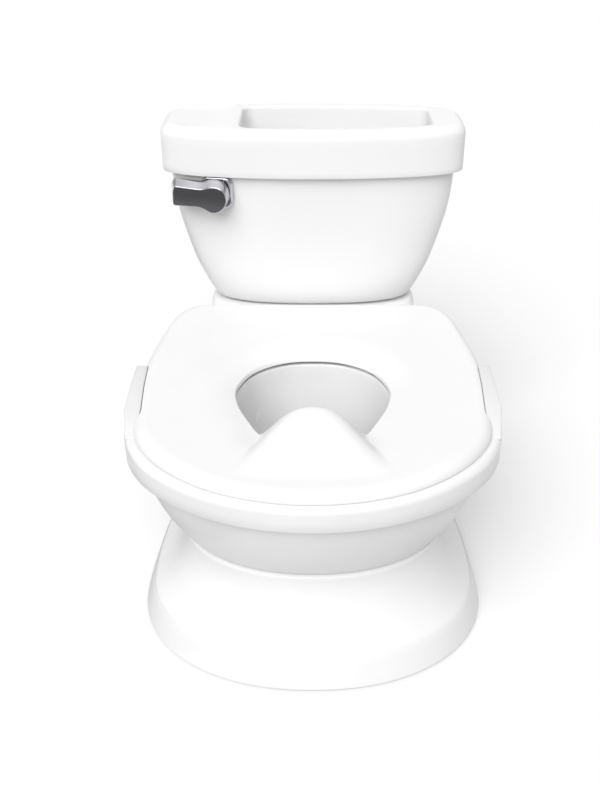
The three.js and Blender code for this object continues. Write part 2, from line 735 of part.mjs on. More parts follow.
// ---------------------------------------------------------------- tank lid with its wipes tray
function makeTankLid() {
  const frontY = TANK_MID_Y - LID.halfDepth;
  const rearY = TANK_MID_Y + LID.halfDepth;
  const shape = { halfWidth: LID.halfWidth, frontY, rearY, centreY: TANK_MID_Y };
  const plan = bowed({ ...shape, power: LID.power, bow: LID.bow });
  const rolled = (distance, top, low) =>
    loft([
      at(inset(plan, distance), low),
      at(inset(plan, distance), top - LID.round),
      at(inset(plan, distance + 0.13 * LID.round), top - 0.5 * LID.round),
      at(inset(plan, distance + 0.5 * LID.round), top - 0.13 * LID.round),
      at(inset(plan, distance + LID.round), top),
    ]);
  let solid = rolled(0, TOTAL_HEIGHT, LID_SKIRT_Z);
  // Inside: a skirt round the tank's top, a ledge that rests on it, and the hollow above.
  solid = solid.subtract(prism(inset(plan, 3.4), LID_SKIRT_Z - 1, TANK_TOP_Z));
  solid = solid.subtract(prism(inset(plan, 12), TANK_TOP_Z - 1, TANK_TOP_Z + 4));
  solid = solid.subtract(rolled(3.4, TOTAL_HEIGHT - WALL, TANK_TOP_Z + 3));
  const outer = extruded(trayPlan(2.5), TRAY.floor - 3, TOTAL_HEIGHT - 1);
  return solid.add(outer).subtract(extruded(trayPlan(0), TRAY.floor, TOTAL_HEIGHT + 2));
}

// The tray's plan follows the bowed front and rear of the lid.
function trayPlan(grow) {
  const { left, right, frontLip, rearLip, corner } = TRAY;
  const share = (x) => (x / LID.halfWidth) ** 2;
  const front = (x) => TANK_MID_Y - LID.halfDepth + frontLip + 24 * share(x) - grow;
  const rear = (x) => TANK_MID_Y + LID.halfDepth - rearLip - LID.bow * share(x) + grow;
  const reach = corner + grow;
  const [low, high] = [left - grow, right + grow];
  const points = [];
  const round = (x, y, start) => {
    for (let i = 0; i <= 4; i += 1) {
      const angle = start + (i / 4) * (Math.PI / 2);
      points.push([x + reach * Math.cos(angle), y + reach * Math.sin(angle)]);
    }
  };
  round(low + reach, front(low + reach) + reach, Math.PI);
  for (const x of [0, 50]) points.push([x, front(x)]);
  round(high - reach, front(high - reach) + reach, -Math.PI / 2);
  round(high - reach, rear(high - reach) - reach, 0);
  for (const x of [50, 0]) points.push([x, rear(x)]);
  round(low + reach, rear(low + reach) - reach, Math.PI / 2);
  return points;
}
add("tank_lid", makeTankLid(), white);

// ---------------------------------------------------------------- flush lever
// These solids are made in the pivot's own frame: -Y faces the child, and the handle runs to -X.
const leverGroup = new THREE.Group();
leverGroup.position.set(LEVER.x, LEVER.y, LEVER.z);
leverGroup.rotation.z = LEVER.turn;
group.add(leverGroup);

const intoFrame = (solid) =>
  solid
    .translate([-LEVER.x, -LEVER.y, -LEVER.z])
    .rotate([0, 0, -THREE.MathUtils.radToDeg(LEVER.turn)]);

function makeEscutcheon() {
  const plate = roundedBlock(-16, 16, -16, LID_SKIRT_Z - LEVER.z - 0.6, 0, 12, 8)
    .rotate([90, 0, 0])
    .translate([0, 7, 0]);
  const sleeve = barY(6.2, -3, 15, 0, 0, 20);
  return plate
    .subtract(intoFrame(tankLoft(GAP)))
    .add(sleeve)
    .subtract(barY(SHAFT_RADIUS + GAP, -6, 16, 0, 0, 20));
}
add("lever_escutcheon", makeEscutcheon(), chrome, leverGroup);

const nut = barY(11, 6, 11, 0, 0, 6).subtract(barY(6.5, 5, 12, 0, 0, 20));
add("lever_nut", nut, innerGrey, leverGroup);

function makeLever() {
  const outline = new THREE.Shape();
  outline.moveTo(-40, 14);
  outline.quadraticCurveTo(-44.5, 13, -45.5, 6);
  outline.lineTo(-46, -6);
  outline.quadraticCurveTo(-45.5, -10.6, -41, -10.8);
  outline.lineTo(-21, -10.8);
  outline.quadraticCurveTo(-15, -10.8, -10, -14);
  outline.quadraticCurveTo(-4, -17.6, 3, -15.4);
  outline.quadraticCurveTo(13, -11, 14, 0);
  outline.quadraticCurveTo(13.6, 14, 0, 15);
  outline.quadraticCurveTo(-6, 15.2, -11, 13);
  outline.quadraticCurveTo(-15, 12, -20, 12.6);
  const made = new THREE.ExtrudeGeometry(outline, {
    depth: 9,
    bevelThickness: 2,
    bevelSize: 2,
    bevelOffset: -2,
    bevelSegments: 1,
    curveSegments: 4,
  });
  const bodySolid = solidOf(made.rotateX(Math.PI / 2)).translate([0, -9.2, 0]);
  const boss = barY(8, -9.5, -6.2, 0, 0, 20);
  return bodySolid.add(boss).subtract(barY(SHAFT_RADIUS + GAP, -15, -6, 0, 0, 20));
}
add("flush_lever", makeLever(), chrome, leverGroup);

const shaftEnd = CRANK_V + 4;
const shaft = barY(SHAFT_RADIUS, -14.7, shaftEnd, 0, 0, 20).subtract(
  barY(2, shaftEnd - 11, shaftEnd + 1, 0, 0, 12),
);
add("lever_shaft", shaft, steel, leverGroup);

const ball = solidOf(
  new THREE.SphereGeometry(BALL_RADIUS, 12, 8).translate(0, CRANK_V, -CRANK_DROP),
);
const crankArm = block(-3, 3, CRANK_V - 2, CRANK_V + 2, -CRANK_DROP, -2);
const crank = barY(7.2, CRANK_V - 4, CRANK_V + 4, 0, 0, 20)
  .add(crankArm)
  .add(ball)
  .subtract(barY(SHAFT_RADIUS + GAP, CRANK_V - 5, CRANK_V + 5, 0, 0, 20));
add("lever_crank", crank, innerGrey, leverGroup);

const crankScrew = screw(5, 2.2, 1.7, 11).rotate([90, 0, 0]).translate([0, shaftEnd + GAP + 2.2, 0]);
add("crank_screw", crankScrew, steel, leverGroup);

// Torsion return spring: three turns of 1.2 mm wire round the shaft, with one leg at each end.
class SpringPath extends THREE.Curve {
  getPoint(share, target = new THREE.Vector3()) {
    const [leg, turns, radius, start, length] = [0.08, 3, 8.2, 17, 15];
    const inCoil = THREE.MathUtils.clamp((share - leg) / (1 - 2 * leg), 0, 1);
    const angle = inCoil * turns * 2 * Math.PI;
    const past = share < leg ? share - leg : Math.max(0, share - 1 + leg);
    const along = (past / leg) * 9;
    const x = radius * Math.cos(angle) - along * Math.sin(angle);
    const z = radius * Math.sin(angle) + along * Math.cos(angle);
    return target.set(x, start + inCoil * length, z);
  }
}
const wire = new THREE.Shape();
wire.absarc(0, 0, 0.6, 0, 2 * Math.PI);
const spring = new THREE.ExtrudeGeometry(wire, {
  extrudePath: new SpringPath(),
  steps: 34,
  bevelEnabled: false,
  curveSegments: 3,
});
add("lever_return_spring", solidOf(spring), steel, leverGroup);

export default group;
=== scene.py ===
import math

import bmesh
import bpy
import numpy as np
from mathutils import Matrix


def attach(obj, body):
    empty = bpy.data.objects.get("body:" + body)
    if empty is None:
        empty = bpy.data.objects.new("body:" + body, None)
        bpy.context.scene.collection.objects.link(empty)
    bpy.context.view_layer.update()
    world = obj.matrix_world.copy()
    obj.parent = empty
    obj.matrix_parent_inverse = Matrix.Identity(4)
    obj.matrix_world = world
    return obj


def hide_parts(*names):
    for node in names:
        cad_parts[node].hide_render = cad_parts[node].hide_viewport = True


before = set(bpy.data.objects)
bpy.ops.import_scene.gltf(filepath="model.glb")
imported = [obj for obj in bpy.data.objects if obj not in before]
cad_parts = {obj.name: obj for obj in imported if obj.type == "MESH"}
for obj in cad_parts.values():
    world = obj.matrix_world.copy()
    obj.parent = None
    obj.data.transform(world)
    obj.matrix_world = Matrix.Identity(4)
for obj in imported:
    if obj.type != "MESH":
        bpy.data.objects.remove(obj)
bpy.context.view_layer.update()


# ---------------------------------------------------------------- pedestal
# The foot of the chair: one thin-walled injection moulding in white polypropylene, with an
# upright skirt, a soft crease and a concave flare. Its top edge is a bead proud of the bowl.
MM = 0.001
ROUND = 288  # points round each moulded outline
WALL = 3.0
FLOOR_GAP = 1.5
CREASE_Z = 30.0
JOIN_Z = 95.0
FOOT = {"half_width": 163, "front": -222, "rear": 178, "centre": -91, "power": 2.15}
JOIN = {"half_width": 116, "front": -176, "rear": 150, "centre": -91, "power": 2.15}
BEAD = 3.5  # the pedestal's top stands this far outside the bowl
SPIGOT = 2.6
GAP = 0.3  # left between pieces that touch
SHELF_Z = JOIN_Z - 4


def evenly(points, count=ROUND):
    loop = np.vstack([points, points[:1]])
    run = np.r_[0, np.cumsum(np.hypot(*np.diff(loop, axis=0).T))]
    places = np.linspace(0, run[-1], count, endpoint=False)
    return np.stack([np.interp(places, run, loop[:, k]) for k in (0, 1)], 1)


def oval(half_width, front, rear, centre, power=2.0, bow=0.0):
    """A rounded outline from the front, anticlockwise seen from above, in millimetres."""
    turn = np.linspace(0, 2 * math.pi, 16 * ROUND, endpoint=False) - math.pi / 2
    across = np.sign(np.cos(turn)) * np.abs(np.cos(turn)) ** (2 / power)
    along = np.sign(np.sin(turn)) * np.abs(np.sin(turn)) ** (2 / power)
    reach = np.where(along < 0, centre - front, rear - centre)
    y = centre + (reach - bow * across**2) * along
    return evenly(np.stack([half_width * across, y], 1))


def inset(outline, distance):
    ahead = np.roll(outline, -1, 0) - np.roll(outline, 1, 0)
    ahead = ahead / np.linalg.norm(ahead, axis=1)[:, None]
    moved = outline + distance * np.stack([-ahead[:, 1], ahead[:, 0]], 1)
    for _ in range(int(abs(distance))):
        moved = (np.roll(moved, 1, 0) + 2 * moved + np.roll(moved, -1, 0)) / 4
    return moved


def softened(corners, steps=5):
    """A profile through (place, height, rounding) corners, each rounded off by its rounding."""
    line = []
    for i, (place, height, rounding) in enumerate(corners):
        here = np.array([place, height], float)
        if not rounding:
            line.append(here)
            continue
        before = np.array(corners[i - 1][:2], float) - here
        after = np.array(corners[(i + 1) % len(corners)][:2], float) - here
        start = here + rounding * before / np.linalg.norm(before)
        end = here + rounding * after / np.linalg.norm(after)
        for t in np.linspace(0, 1, steps + 1):
            line.append((1 - t) ** 2 * start + 2 * t * (1 - t) * here + t * t * end)
    return line


def lofted(rings, closed=False):
    """Vertices and faces of a skin through (outline, height) rings, closed up or capped."""
    count = len(rings[0][0])
    points = [np.c_[outline, np.broadcast_to(height, count)] for outline, height in rings]
    faces = []
    spans = len(rings) if closed else len(rings) - 1
    for row in range(spans):
        low, high = row * count, (row + 1) % len(rings) * count
        for i in range(count):
            j = (i + 1) % count
            faces.append((low + i, low + j, high + j, high + i))
    if not closed:
        last = (len(rings) - 1) * count
        faces += [tuple(range(count))[::-1], tuple(range(last, last + count))]
    return np.vstack(points) * MM, faces


def solid(name, *parts):
    """One mesh object of closed skins, its faces turned outwards and its soft edges smoothed."""
    mesh = bpy.data.meshes.new(name)
    vertices, faces = [], []
    for points, quads in parts:
        first = len(vertices)
        vertices += [tuple(p) for p in points]
        faces += [tuple(first + v for v in face) for face in quads]
    mesh.from_pydata(vertices, [], faces)
    made = bpy.data.objects.new(name, mesh)
    bpy.context.scene.collection.objects.link(made)
    return tidied(made)


def tidied(made, sharp=34):
    shape = bmesh.new()
    shape.from_mesh(made.data)
    bmesh.ops.remove_doubles(shape, verts=shape.verts, dist=2e-6)
    bmesh.ops.dissolve_degenerate(shape, edges=shape.edges, dist=1e-6)
    bmesh.ops.recalc_face_normals(shape, faces=shape.faces)
    for face in shape.faces:
        face.smooth = True
    shape.to_mesh(made.data)
    shape.free()
    made.data.set_sharp_from_angle(angle=math.radians(sharp))
    return made


def settled(made):
    """The object with its modifiers turned into plain mesh."""
    bpy.context.view_layer.update()
    seen = made.evaluated_get(bpy.context.evaluated_depsgraph_get())
    mesh = bpy.data.meshes.new_from_object(seen)
    made.modifiers.clear()
    made.data = mesh
    return made


def worked(made, cutter, operation="DIFFERENCE"):
    """Cuts made with cutter, or joins them, and uses the cutter up."""
    step = made.modifiers.new("work", "BOOLEAN")
    step.operation, step.solver, step.object = operation, "EXACT", cutter
    settled(made)
    bpy.data.objects.remove(cutter)
    return tidied(made)


def colour(code):
    """A linear colour from an sRGB hex code."""
    parts = [int(code[i : i + 2], 16) / 255 for i in (1, 3, 5)]
    return [p / 12.92 if p <= 0.04045 else ((p + 0.055) / 1.055) ** 2.4 for p in parts] + [1]


def put(tree, kind, inputs=None, **settings):
    """Adds a node with its settings; an input is a value or the socket that feeds it."""
    node = tree.nodes.new(kind)
    for name, value in settings.items():
        setattr(node, name, value)
    for name, value in (inputs or {}).items():
        if isinstance(value, bpy.types.NodeSocket):
            tree.links.new(value, node.inputs[name])
        else:
            node.inputs[name].default_value = value
    return node


def new_finish(name):
    """A new material, its node tree, its shader, and the piece's own coordinates."""
    material = bpy.data.materials.new(name)
    material.use_nodes = True
    tree = material.node_tree
    where = put(tree, "ShaderNodeTexCoord").outputs["Object"]
    return material, tree, tree.nodes["Principled BSDF"], where


def moulded_plastic(name, light, dark, gloss, texture_mm):
    """Injection-moulded polypropylene or ABS: a satin skin with a faint orange peel, slow waves
    where the wall cooled unevenly, and a gloss that wanders a little from place to place."""
    material, tree, shader, where = new_finish(name)
    shader.inputs["IOR"].default_value = 1.49
    cloud = put(tree, "ShaderNodeTexNoise", {"Vector": where, "Scale": 1 / 0.045, "Detail": 3.0})
    tint = put(
        tree,
        "ShaderNodeMix",
        {0: cloud.outputs["Fac"], 6: colour(light), 7: colour(dark)},
        data_type="RGBA",
    )
    tree.links.new(tint.outputs[2], shader.inputs["Base Color"])
    drift = put(tree, "ShaderNodeTexNoise", {"Vector": where, "Scale": 1 / 0.04, "Detail": 3.0})
    spread = put(
        tree,
        "ShaderNodeMapRange",
        {"Value": drift.outputs["Fac"], "To Min": gloss - 0.02, "To Max": gloss + 0.03},
    )
    tree.links.new(spread.outputs["Result"], shader.inputs["Roughness"])
    waves = put(tree, "ShaderNodeTexNoise", {"Vector": where, "Scale": 1 / 0.03, "Detail": 1.0})
    slow = put(
        tree,
        "ShaderNodeBump",
        {"Height": waves.outputs["Fac"], "Strength": 0.12, "Distance": 0.0002},
    )
    peel = put(
        tree,
        "ShaderNodeTexNoise",
        {"Vector": where, "Scale": 1 / (texture_mm * MM), "Detail": 2.0, "Roughness": 0.4},
    )
    fine = put(
        tree,
        "ShaderNodeBump",
        {
            "Height": peel.outputs["Fac"],
            "Strength": 0.12,
            "Distance": 0.00004,
            "Normal": slow.outputs["Normal"],
        },
    )
    tree.links.new(fine.outputs["Normal"], shader.inputs["Normal"])
    return material


def finished(made, material, body, slot, *nodes):
    """Gives a piece its material and body, and lets it stand for its CAD nodes. Its slot is not used.
    """
    made.data.materials.clear()
    made.data.materials.append(material)
    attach(made, body)
    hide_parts(*nodes)
    return made


gloss_white = moulded_plastic("moulded_white_polypropylene", "#E9E9E9", "#E5E5E5", 0.3, 1.6)

foot_outline = oval(**FOOT)
join_outline = oval(**JOIN)
crease_outline = inset(foot_outline, 10)
bead_outline = inset(join_outline, -BEAD)
FLARE_REACH = 33.5


def pedestal_ring(place):
    """Outline at a place: from -10 on the floor, 0 on the crease, to FLARE_REACH at the top."""
    if place <= 0:
        return inset(foot_outline, 10 + place)
    return crease_outline + (bead_outline - crease_outline) * place / FLARE_REACH


flare = [(0.0, CREASE_Z, 4.0)]
for step in range(1, 15):
    rise = step / 15
    flare.append((FLARE_REACH * (1 - (1 - rise) ** 2.2), CREASE_Z + rise * (JOIN_Z - CREASE_Z), 0))
outside = softened(
    [(-8.8, FLOOR_GAP, 0), (-10, FLOOR_GAP + 1.2, 0.8), (-2, CREASE_Z - 4, 3.5)]
    + flare
    + [(FLARE_REACH - 0.2, JOIN_Z - 1.9, 0), (FLARE_REACH, JOIN_Z - 1.1, 0)]
    + [(FLARE_REACH + 0.35, JOIN_Z - 0.35, 0), (FLARE_REACH + 1.1, JOIN_Z, 0)]
)
pedestal_rings = [(pedestal_ring(place), height) for place, height in outside]
rebate = inset(join_outline, SPIGOT - GAP)
shelf = inset(join_outline, 16)
pedestal_rings += [(rebate, JOIN_Z), (rebate, SHELF_Z), (shelf, SHELF_Z), (shelf, SHELF_Z - WALL)]
for place, height in reversed(outside[2:-2]):
    if 9 < height < SHELF_Z - WALL:
        pedestal_rings.append((inset(pedestal_ring(place), WALL), height - 1.5))
pedestal_rings += [
    (inset(foot_outline, 30), 7),
    (inset(foot_outline, 30), 4),
    (inset(foot_outline, WALL), 4),
    (inset(foot_outline, WALL), FLOOR_GAP),
]
pedestal = solid("pedestal_shell", lofted(pedestal_rings, closed=True))
finished(pedestal, gloss_white, "base", "shell_white", "pedestal")


# ---------------------------------------------------------------- foot pads
# Four pucks of grey thermoplastic rubber under the skirt, each pulled by its stem into a hole
# in the pedestal. Moulded rings underneath keep the chair from sliding.
PAD_PLACES = [(96, -162), (-96, -162), (104, 78), (-104, 78)]


def turned(profile, steps=48):
    """A round part from its (radius, height) profile, from its axis out and back, along +Z."""
    turn = np.linspace(0, 2 * math.pi, steps, endpoint=False)
    circle = np.stack([np.cos(turn), np.sin(turn)], 1)
    return lofted([(max(radius, 0.02) * circle, height) for radius, height in profile])


def repeat_tree(name):
    """Geometry Nodes: a copy of one template on every point, turned alike, as real mesh."""
    tree = bpy.data.node_groups.new(name, "GeometryNodeTree")
    tree.is_modifier = True
    for label, kind in (
        ("Places", "NodeSocketGeometry"),
        ("Template", "NodeSocketObject"),
        ("Turn", "NodeSocketVector"),
        ("Finish", "NodeSocketMaterial"),
    ):
        tree.interface.new_socket(label, in_out="INPUT", socket_type=kind)
    tree.interface.new_socket("Pieces", in_out="OUTPUT", socket_type="NodeSocketGeometry")
    given = put(tree, "NodeGroupInput").outputs
    template = put(tree, "GeometryNodeObjectInfo", {"Object": given["Template"]})
    turned = put(tree, "FunctionNodeEulerToRotation", {"Euler": given["Turn"]})
    copies = put(
        tree,
        "GeometryNodeInstanceOnPoints",
        {
            "Points": given["Places"],
            "Instance": template.outputs["Geometry"],
            "Rotation": turned.outputs["Rotation"],
        },
    )
    real = put(tree, "GeometryNodeRealizeInstances", {"Geometry": copies.outputs["Instances"]})
    coated = put(
        tree,
        "GeometryNodeSetMaterial",
        {"Geometry": real.outputs["Geometry"], "Material": given["Finish"]},
    )
    put(tree, "NodeGroupOutput", {"Pieces": coated.outputs["Geometry"]})
    return tree


repeater = repeat_tree("copies_on_points")


def set_inputs(step, tree, **values):
    for item in tree.interface.items_tree:
        if item.in_out == "INPUT" and item.name in values:
            step[item.identifier] = values[item.name]


def repeated(name, template, places, material, turn=(0, 0, 0)):
    """The template's copies at the places, in millimetres, as one plain mesh."""
    mesh = bpy.data.meshes.new(name)
    mesh.from_pydata([tuple(c * MM for c in place) for place in places], [], [])
    made = bpy.data.objects.new(name, mesh)
    bpy.context.scene.collection.objects.link(made)
    step = made.modifiers.new("copies", "NODES")
    step.node_group = repeater
    turns = tuple(math.radians(angle) for angle in turn)
    set_inputs(step, repeater, Template=template, Turn=turns, Finish=material)
    settled(made)
    bpy.data.objects.remove(template)
    return tidied(made)


def moulded_rubber(name, shade):
    """Moulded thermoplastic rubber: matt, with the fine spark-eroded grain of its mould."""
    material, tree, shader, where = new_finish(name)
    shader.inputs["IOR"].default_value = 1.5
    shader.inputs["Roughness"].default_value = 0.72
    dust = put(tree, "ShaderNodeTexNoise", {"Vector": where, "Scale": 1 / 0.006, "Detail": 5.0})
    pale = [channel * 1.25 for channel in colour(shade)[:3]] + [1]
    tint = put(
        tree,
        "ShaderNodeMix",
        {0: dust.outputs["Fac"], 6: colour(shade), 7: pale},
        data_type="RGBA",
    )
    tree.links.new(tint.outputs[2], shader.inputs["Base Color"])
    grain = put(tree, "ShaderNodeTexNoise", {"Vector": where, "Scale": 1 / 0.0007, "Detail": 3.0})
    rough = put(
        tree,
        "ShaderNodeBump",
        {"Height": grain.outputs["Fac"], "Strength": 0.35, "Distance": 0.00012},
    )
    tree.links.new(rough.outputs["Normal"], shader.inputs["Normal"])
    return material


grey_rubber = moulded_rubber("moulded_grey_rubber", "#7E8184")
pad_profile = [
    (0, 0.6), (1.8, 0.6), (2.3, 0), (3.5, 0), (4.0, 0.6), (5.1, 0.6), (5.6, 0), (7.1, 0),
    (8.1, 0.4), (8.5, 1.2), (8.5, 3), (8.2, 3.5), (7.7, 3.7), (3.2, 3.7), (3.1, 4), (3.1, 7.9),
    (2.6, 8.6), (0, 8.6),
]
foot_pads = repeated(
    "foot_pads",
    solid("pad_template", turned(pad_profile)),
    [(x, y, 0) for x, y in PAD_PLACES],
    grey_rubber,
)
pad_names = [f"foot_pad_{end}_{side}" for end in ("front", "rear") for side in ("right", "left")]
finished(foot_pads, grey_rubber, "base", "grey_rubber", *pad_names)


# ---------------------------------------------------------------- bowl shell
# The upper moulding: a bowl that tapers to the pedestal, with a rolled rim that overhangs it,
# a sunk deck that carries the pot, and a plinth for the tank. Screwed up from inside the foot.
RIM_LOW, RIM_SHOULDER, RIM_TOP, DECK_Z, PLINTH_Z = 180, 197, 203, 200, 209
RIM_HALF = [
    (0, -224), (43, -219.6), (83, -206.7), (117, -186.2), (144, -159.5), (160.3, -128.4),
    (166, -95), (166.8, -60), (166, -28), (161, 10), (153, 45), (145, 76), (135, 100),
    (118, 117), (111, 135), (110, 158), (105, 182), (91, 200), (58, 209), (0, 211),
]
HOLE_FRONT = -141
HOLE_HALF = [
    (0, HOLE_FRONT), (20, -140), (36, -135), (46, -125), (55, -109.6), (63.5, -92), (69, -72),
    (70, -56), (66, -39), (57, -21), (43, -8), (23, 1.5), (0, 4),
]


def through(half):
    """A smooth closed outline through one side's points and their mirror image."""
    right = np.array(half, float)
    loop = np.vstack([right, right[-2:0:-1] * [-1, 1]])
    line = []
    for i in range(len(loop)):
        p0, p1, p2, p3 = (loop[(i + k) % len(loop)] for k in (-1, 0, 1, 2))
        d0, d1, d2 = (np.linalg.norm(b - a) ** 0.5 for a, b in ((p0, p1), (p1, p2), (p2, p3)))
        leave = ((p1 - p0) / d0 - (p2 - p0) / (d0 + d1) + (p2 - p1) / d1) * d1
        arrive = ((p2 - p1) / d1 - (p3 - p1) / (d1 + d2) + (p3 - p2) / d2) * d1
        for t in np.linspace(0, 1, 40, endpoint=False):
            line.append(
                (2 * t**3 - 3 * t**2 + 1) * p1
                + (t**3 - 2 * t**2 + t) * leave
                + (3 * t**2 - 2 * t**3) * p2
                + (t**3 - t**2) * arrive
            )
    return evenly(np.array(line))


rim_outline = through(RIM_HALF)
hole_outline = through(HOLE_HALF)
under_rim = inset(rim_outline, 13)


def bowl_ring(height, wall=0):
    drop = np.clip((RIM_LOW - height) / (RIM_LOW - JOIN_Z), 0, 1)
    return inset(under_rim + (join_outline - under_rim) * drop**1.9, wall)


rim_profile = [(10.6, DECK_Z), (9.9, RIM_TOP - 0.9), (9.3, RIM_TOP - 0.2), (8.6, RIM_TOP)]
for turn in np.linspace(0, math.pi / 2, 9):
    rim_profile.append((6 * (1 - math.sin(turn)), RIM_SHOULDER + 6 * math.cos(turn)))
rim_profile += [(0, 190), (0, RIM_LOW + 1), (0.4, RIM_LOW + 0.2), (1.1, RIM_LOW)]
rim_profile += [(2.4, RIM_LOW), (WALL, RIM_LOW + 0.7), (WALL, DECK_Z - 5), (4.5, DECK_Z - WALL)]
well = inset(hole_outline, -6)
shell_rings = [(well, DECK_Z)]
shell_rings += [(inset(rim_outline, place), height) for place, height in rim_profile]
shell_rings += [(inset(rim_outline, 11), DECK_Z - WALL), (inset(rim_outline, 12.6), DECK_Z - 4.4)]
for height in np.linspace(RIM_LOW + 8, JOIN_Z + 2.1, 26):
    shell_rings.append((bowl_ring(height), height))
for turn in np.linspace(0, math.pi / 2, 5):
    place, height = 1.2 * (1 - math.cos(turn)), JOIN_Z + 1.5 - 1.2 * math.sin(turn)
    shell_rings.append((inset(join_outline, place), height))
shell_rings += [(inset(join_outline, SPIGOT), JOIN_Z + GAP)]
shell_rings += [(inset(join_outline, SPIGOT), SHELF_Z + GAP)]
shell_rings += [(inset(join_outline, SPIGOT + WALL), SHELF_Z + GAP)]
for height in np.linspace(JOIN_Z + 4, RIM_LOW, 12):
    shell_rings.append((bowl_ring(height, WALL), height))
shell_rings += [(inset(rim_outline, 16), DECK_Z - WALL), (well, DECK_Z - WALL)]

plinth_corners = softened(
    [(0, DECK_Z - 1, 0), (0, DECK_Z + 2.4, 0), (4, PLINTH_Z, 2.2), (30, PLINTH_Z, 0)]
)
plinth_rings = []
for place, height in plinth_corners:
    plan = (111 - place, 114 + 0.875 * place, 207 - 0.75 * place)
    plinth_rings.append((oval(*plan, sum(plan[1:]) / 2, 4, 7), height))

EAR_TOP, EAR_REAR, EAR_FLAT, EAR_FOOT = 215, -18, -94, -124
EAR_PLAN = [
    (155.6, EAR_REAR), (154.2, -56), (151.2, EAR_FLAT), (151.6, EAR_FOOT),
    (161.2, EAR_FOOT), (165.6, EAR_FLAT), (166.7, -56), (166.3, EAR_REAR),
]


def box_part(low, high):
    """A plain box between two opposite corners."""
    across, along, up = zip(low, high)
    corners = [(x, y, z) for z in up for y in along for x in across]
    faces = [(0, 2, 3, 1), (4, 5, 7, 6), (0, 1, 5, 4), (2, 6, 7, 3), (0, 4, 6, 2), (1, 3, 7, 5)]
    return np.array(corners, float) * MM, faces


def ear_part(side, low, grow):
    """A lifting ear between a height and its top, with its front sloping to the rim."""
    points, count = [], len(EAR_PLAN)
    slope = (EAR_TOP - RIM_TOP) / (EAR_FLAT - EAR_FOOT)
    for top in (False, True):
        for i, (x, y) in enumerate(EAR_PLAN):
            end = {EAR_REAR: 1, EAR_FOOT: -1}.get(y, 0)
            spot_y = y + end * grow
            peak = EAR_TOP + grow - max(0, EAR_FLAT - spot_y) * slope
            points.append((side * (x + (-grow if i < 4 else grow)), spot_y, peak if top else low))
    faces = [tuple(range(count))[::-1]]
    faces += [(count + 2, count + 3, count + 4, count + 5)]
    faces += [(count, count + 1, count + 2, count + 5, count + 6, count + 7)]
    faces += [(i, (i + 1) % count, count + (i + 1) % count, count + i) for i in range(count)]
    return np.array(points, float) * MM, faces


bowl = solid("bowl_and_rim", lofted(shell_rings, closed=True))
bowl = worked(bowl, solid("plinth", lofted(plinth_rings)), "UNION")
pockets = [ear_part(side, DECK_Z, 0.5) for side in (1, -1)]
pockets += [box_part((140, -100.5, DECK_Z), (160, -34.5, RIM_TOP + 1))]
pockets += [box_part((-160, -100.5, DECK_Z), (-140, -34.5, RIM_TOP + 1))]
for pocket in pockets:
    bowl = worked(bowl, solid("pocket", pocket))
finished(bowl, gloss_white, "base", "shell_white", "bowl_shell")


# ---------------------------------------------------------------- base screws
# Four zinc-plated pan-head screws driven up through the pedestal's shelf into the bowl shell.
SCREW_PLACES = [(86, -124), (-86, -124), (70, 60), (-70, 60)]
QUARTER = math.pi / 2
BASE_SCREW = (4, 2.6, 1.9, 20.6)  # head radius, head height, shank radius, length


def screw_template(head, head_height, shank, length):
    """A pan-head thread-forming screw: its head's top at the origin, its shank along +Z."""
    dome = [
        (head * math.sin(turn), 0.55 * head_height * (1 - math.cos(turn)))
        for turn in np.linspace(0, QUARTER, 8)
    ]
    profile = dome + [(head, head_height - 0.1), (head - 0.1, head_height), (shank, head_height)]
    pitch = 0.75 * shank
    for start in np.arange(head_height + 1, length - 2 * shank, pitch):
        profile += [(0.74 * shank, start), (shank, start + 0.45 * pitch)]
        profile += [(0.74 * shank, start + 0.9 * pitch)]
    profile += [(0.7 * shank, length - shank), (0, length)]
    made = solid("screw_template", turned(profile, 32))
    arm, thin, deep = 0.56 * head, 0.14 * head, 0.62 * head_height
    for wide, narrow in ((arm, thin), (thin, arm)):
        top = [(-wide, -narrow), (wide, -narrow), (wide, narrow), (-wide, narrow)]
        low = [(0.45 * x if wide > thin else x, 0.45 * y if narrow > thin else y) for x, y in top]
        made = worked(made, solid("cross", lofted([(np.array(top), -1), (np.array(low), deep)])))
    return made


def plated_steel(name, shade, gloss):
    """Zinc-plated steel: a cool grey metal, mottled by the size of its zinc crystals."""
    material, tree, shader, where = new_finish(name)
    shader.inputs["Metallic"].default_value = 1.0
    spangle = put(tree, "ShaderNodeTexVoronoi", {"Vector": where, "Scale": 1 / 0.0009})
    dull = [channel * 0.72 for channel in colour(shade)[:3]] + [1]
    tint = put(
        tree,
        "ShaderNodeMix",
        {0: spangle.outputs["Distance"], 6: colour(shade), 7: dull},
        data_type="RGBA",
    )
    tree.links.new(tint.outputs[2], shader.inputs["Base Color"])
    wear = put(tree, "ShaderNodeTexNoise", {"Vector": where, "Scale": 1 / 0.002, "Detail": 4.0})
    spread = put(
        tree,
        "ShaderNodeMapRange",
        {"Value": wear.outputs["Fac"], "To Min": gloss - 0.08, "To Max": gloss + 0.14},
    )
    tree.links.new(spread.outputs["Result"], shader.inputs["Roughness"])
    return material


zinc_steel = plated_steel("zinc_plated_steel", "#C3C6C9", 0.32)
BASE_SCREW_Z = SHELF_Z - WALL - GAP - BASE_SCREW[1]
base_screws = repeated(
    "base_screws",
    screw_template(*BASE_SCREW),
    [(x, y, BASE_SCREW_Z) for x, y in SCREW_PLACES],
    zinc_steel,
)
base_screw_names = [f"base_screw_{i}" for i in (1, 2, 3, 4)]
finished(base_screws, zinc_steel, "base", "hardware_steel", *base_screw_names)


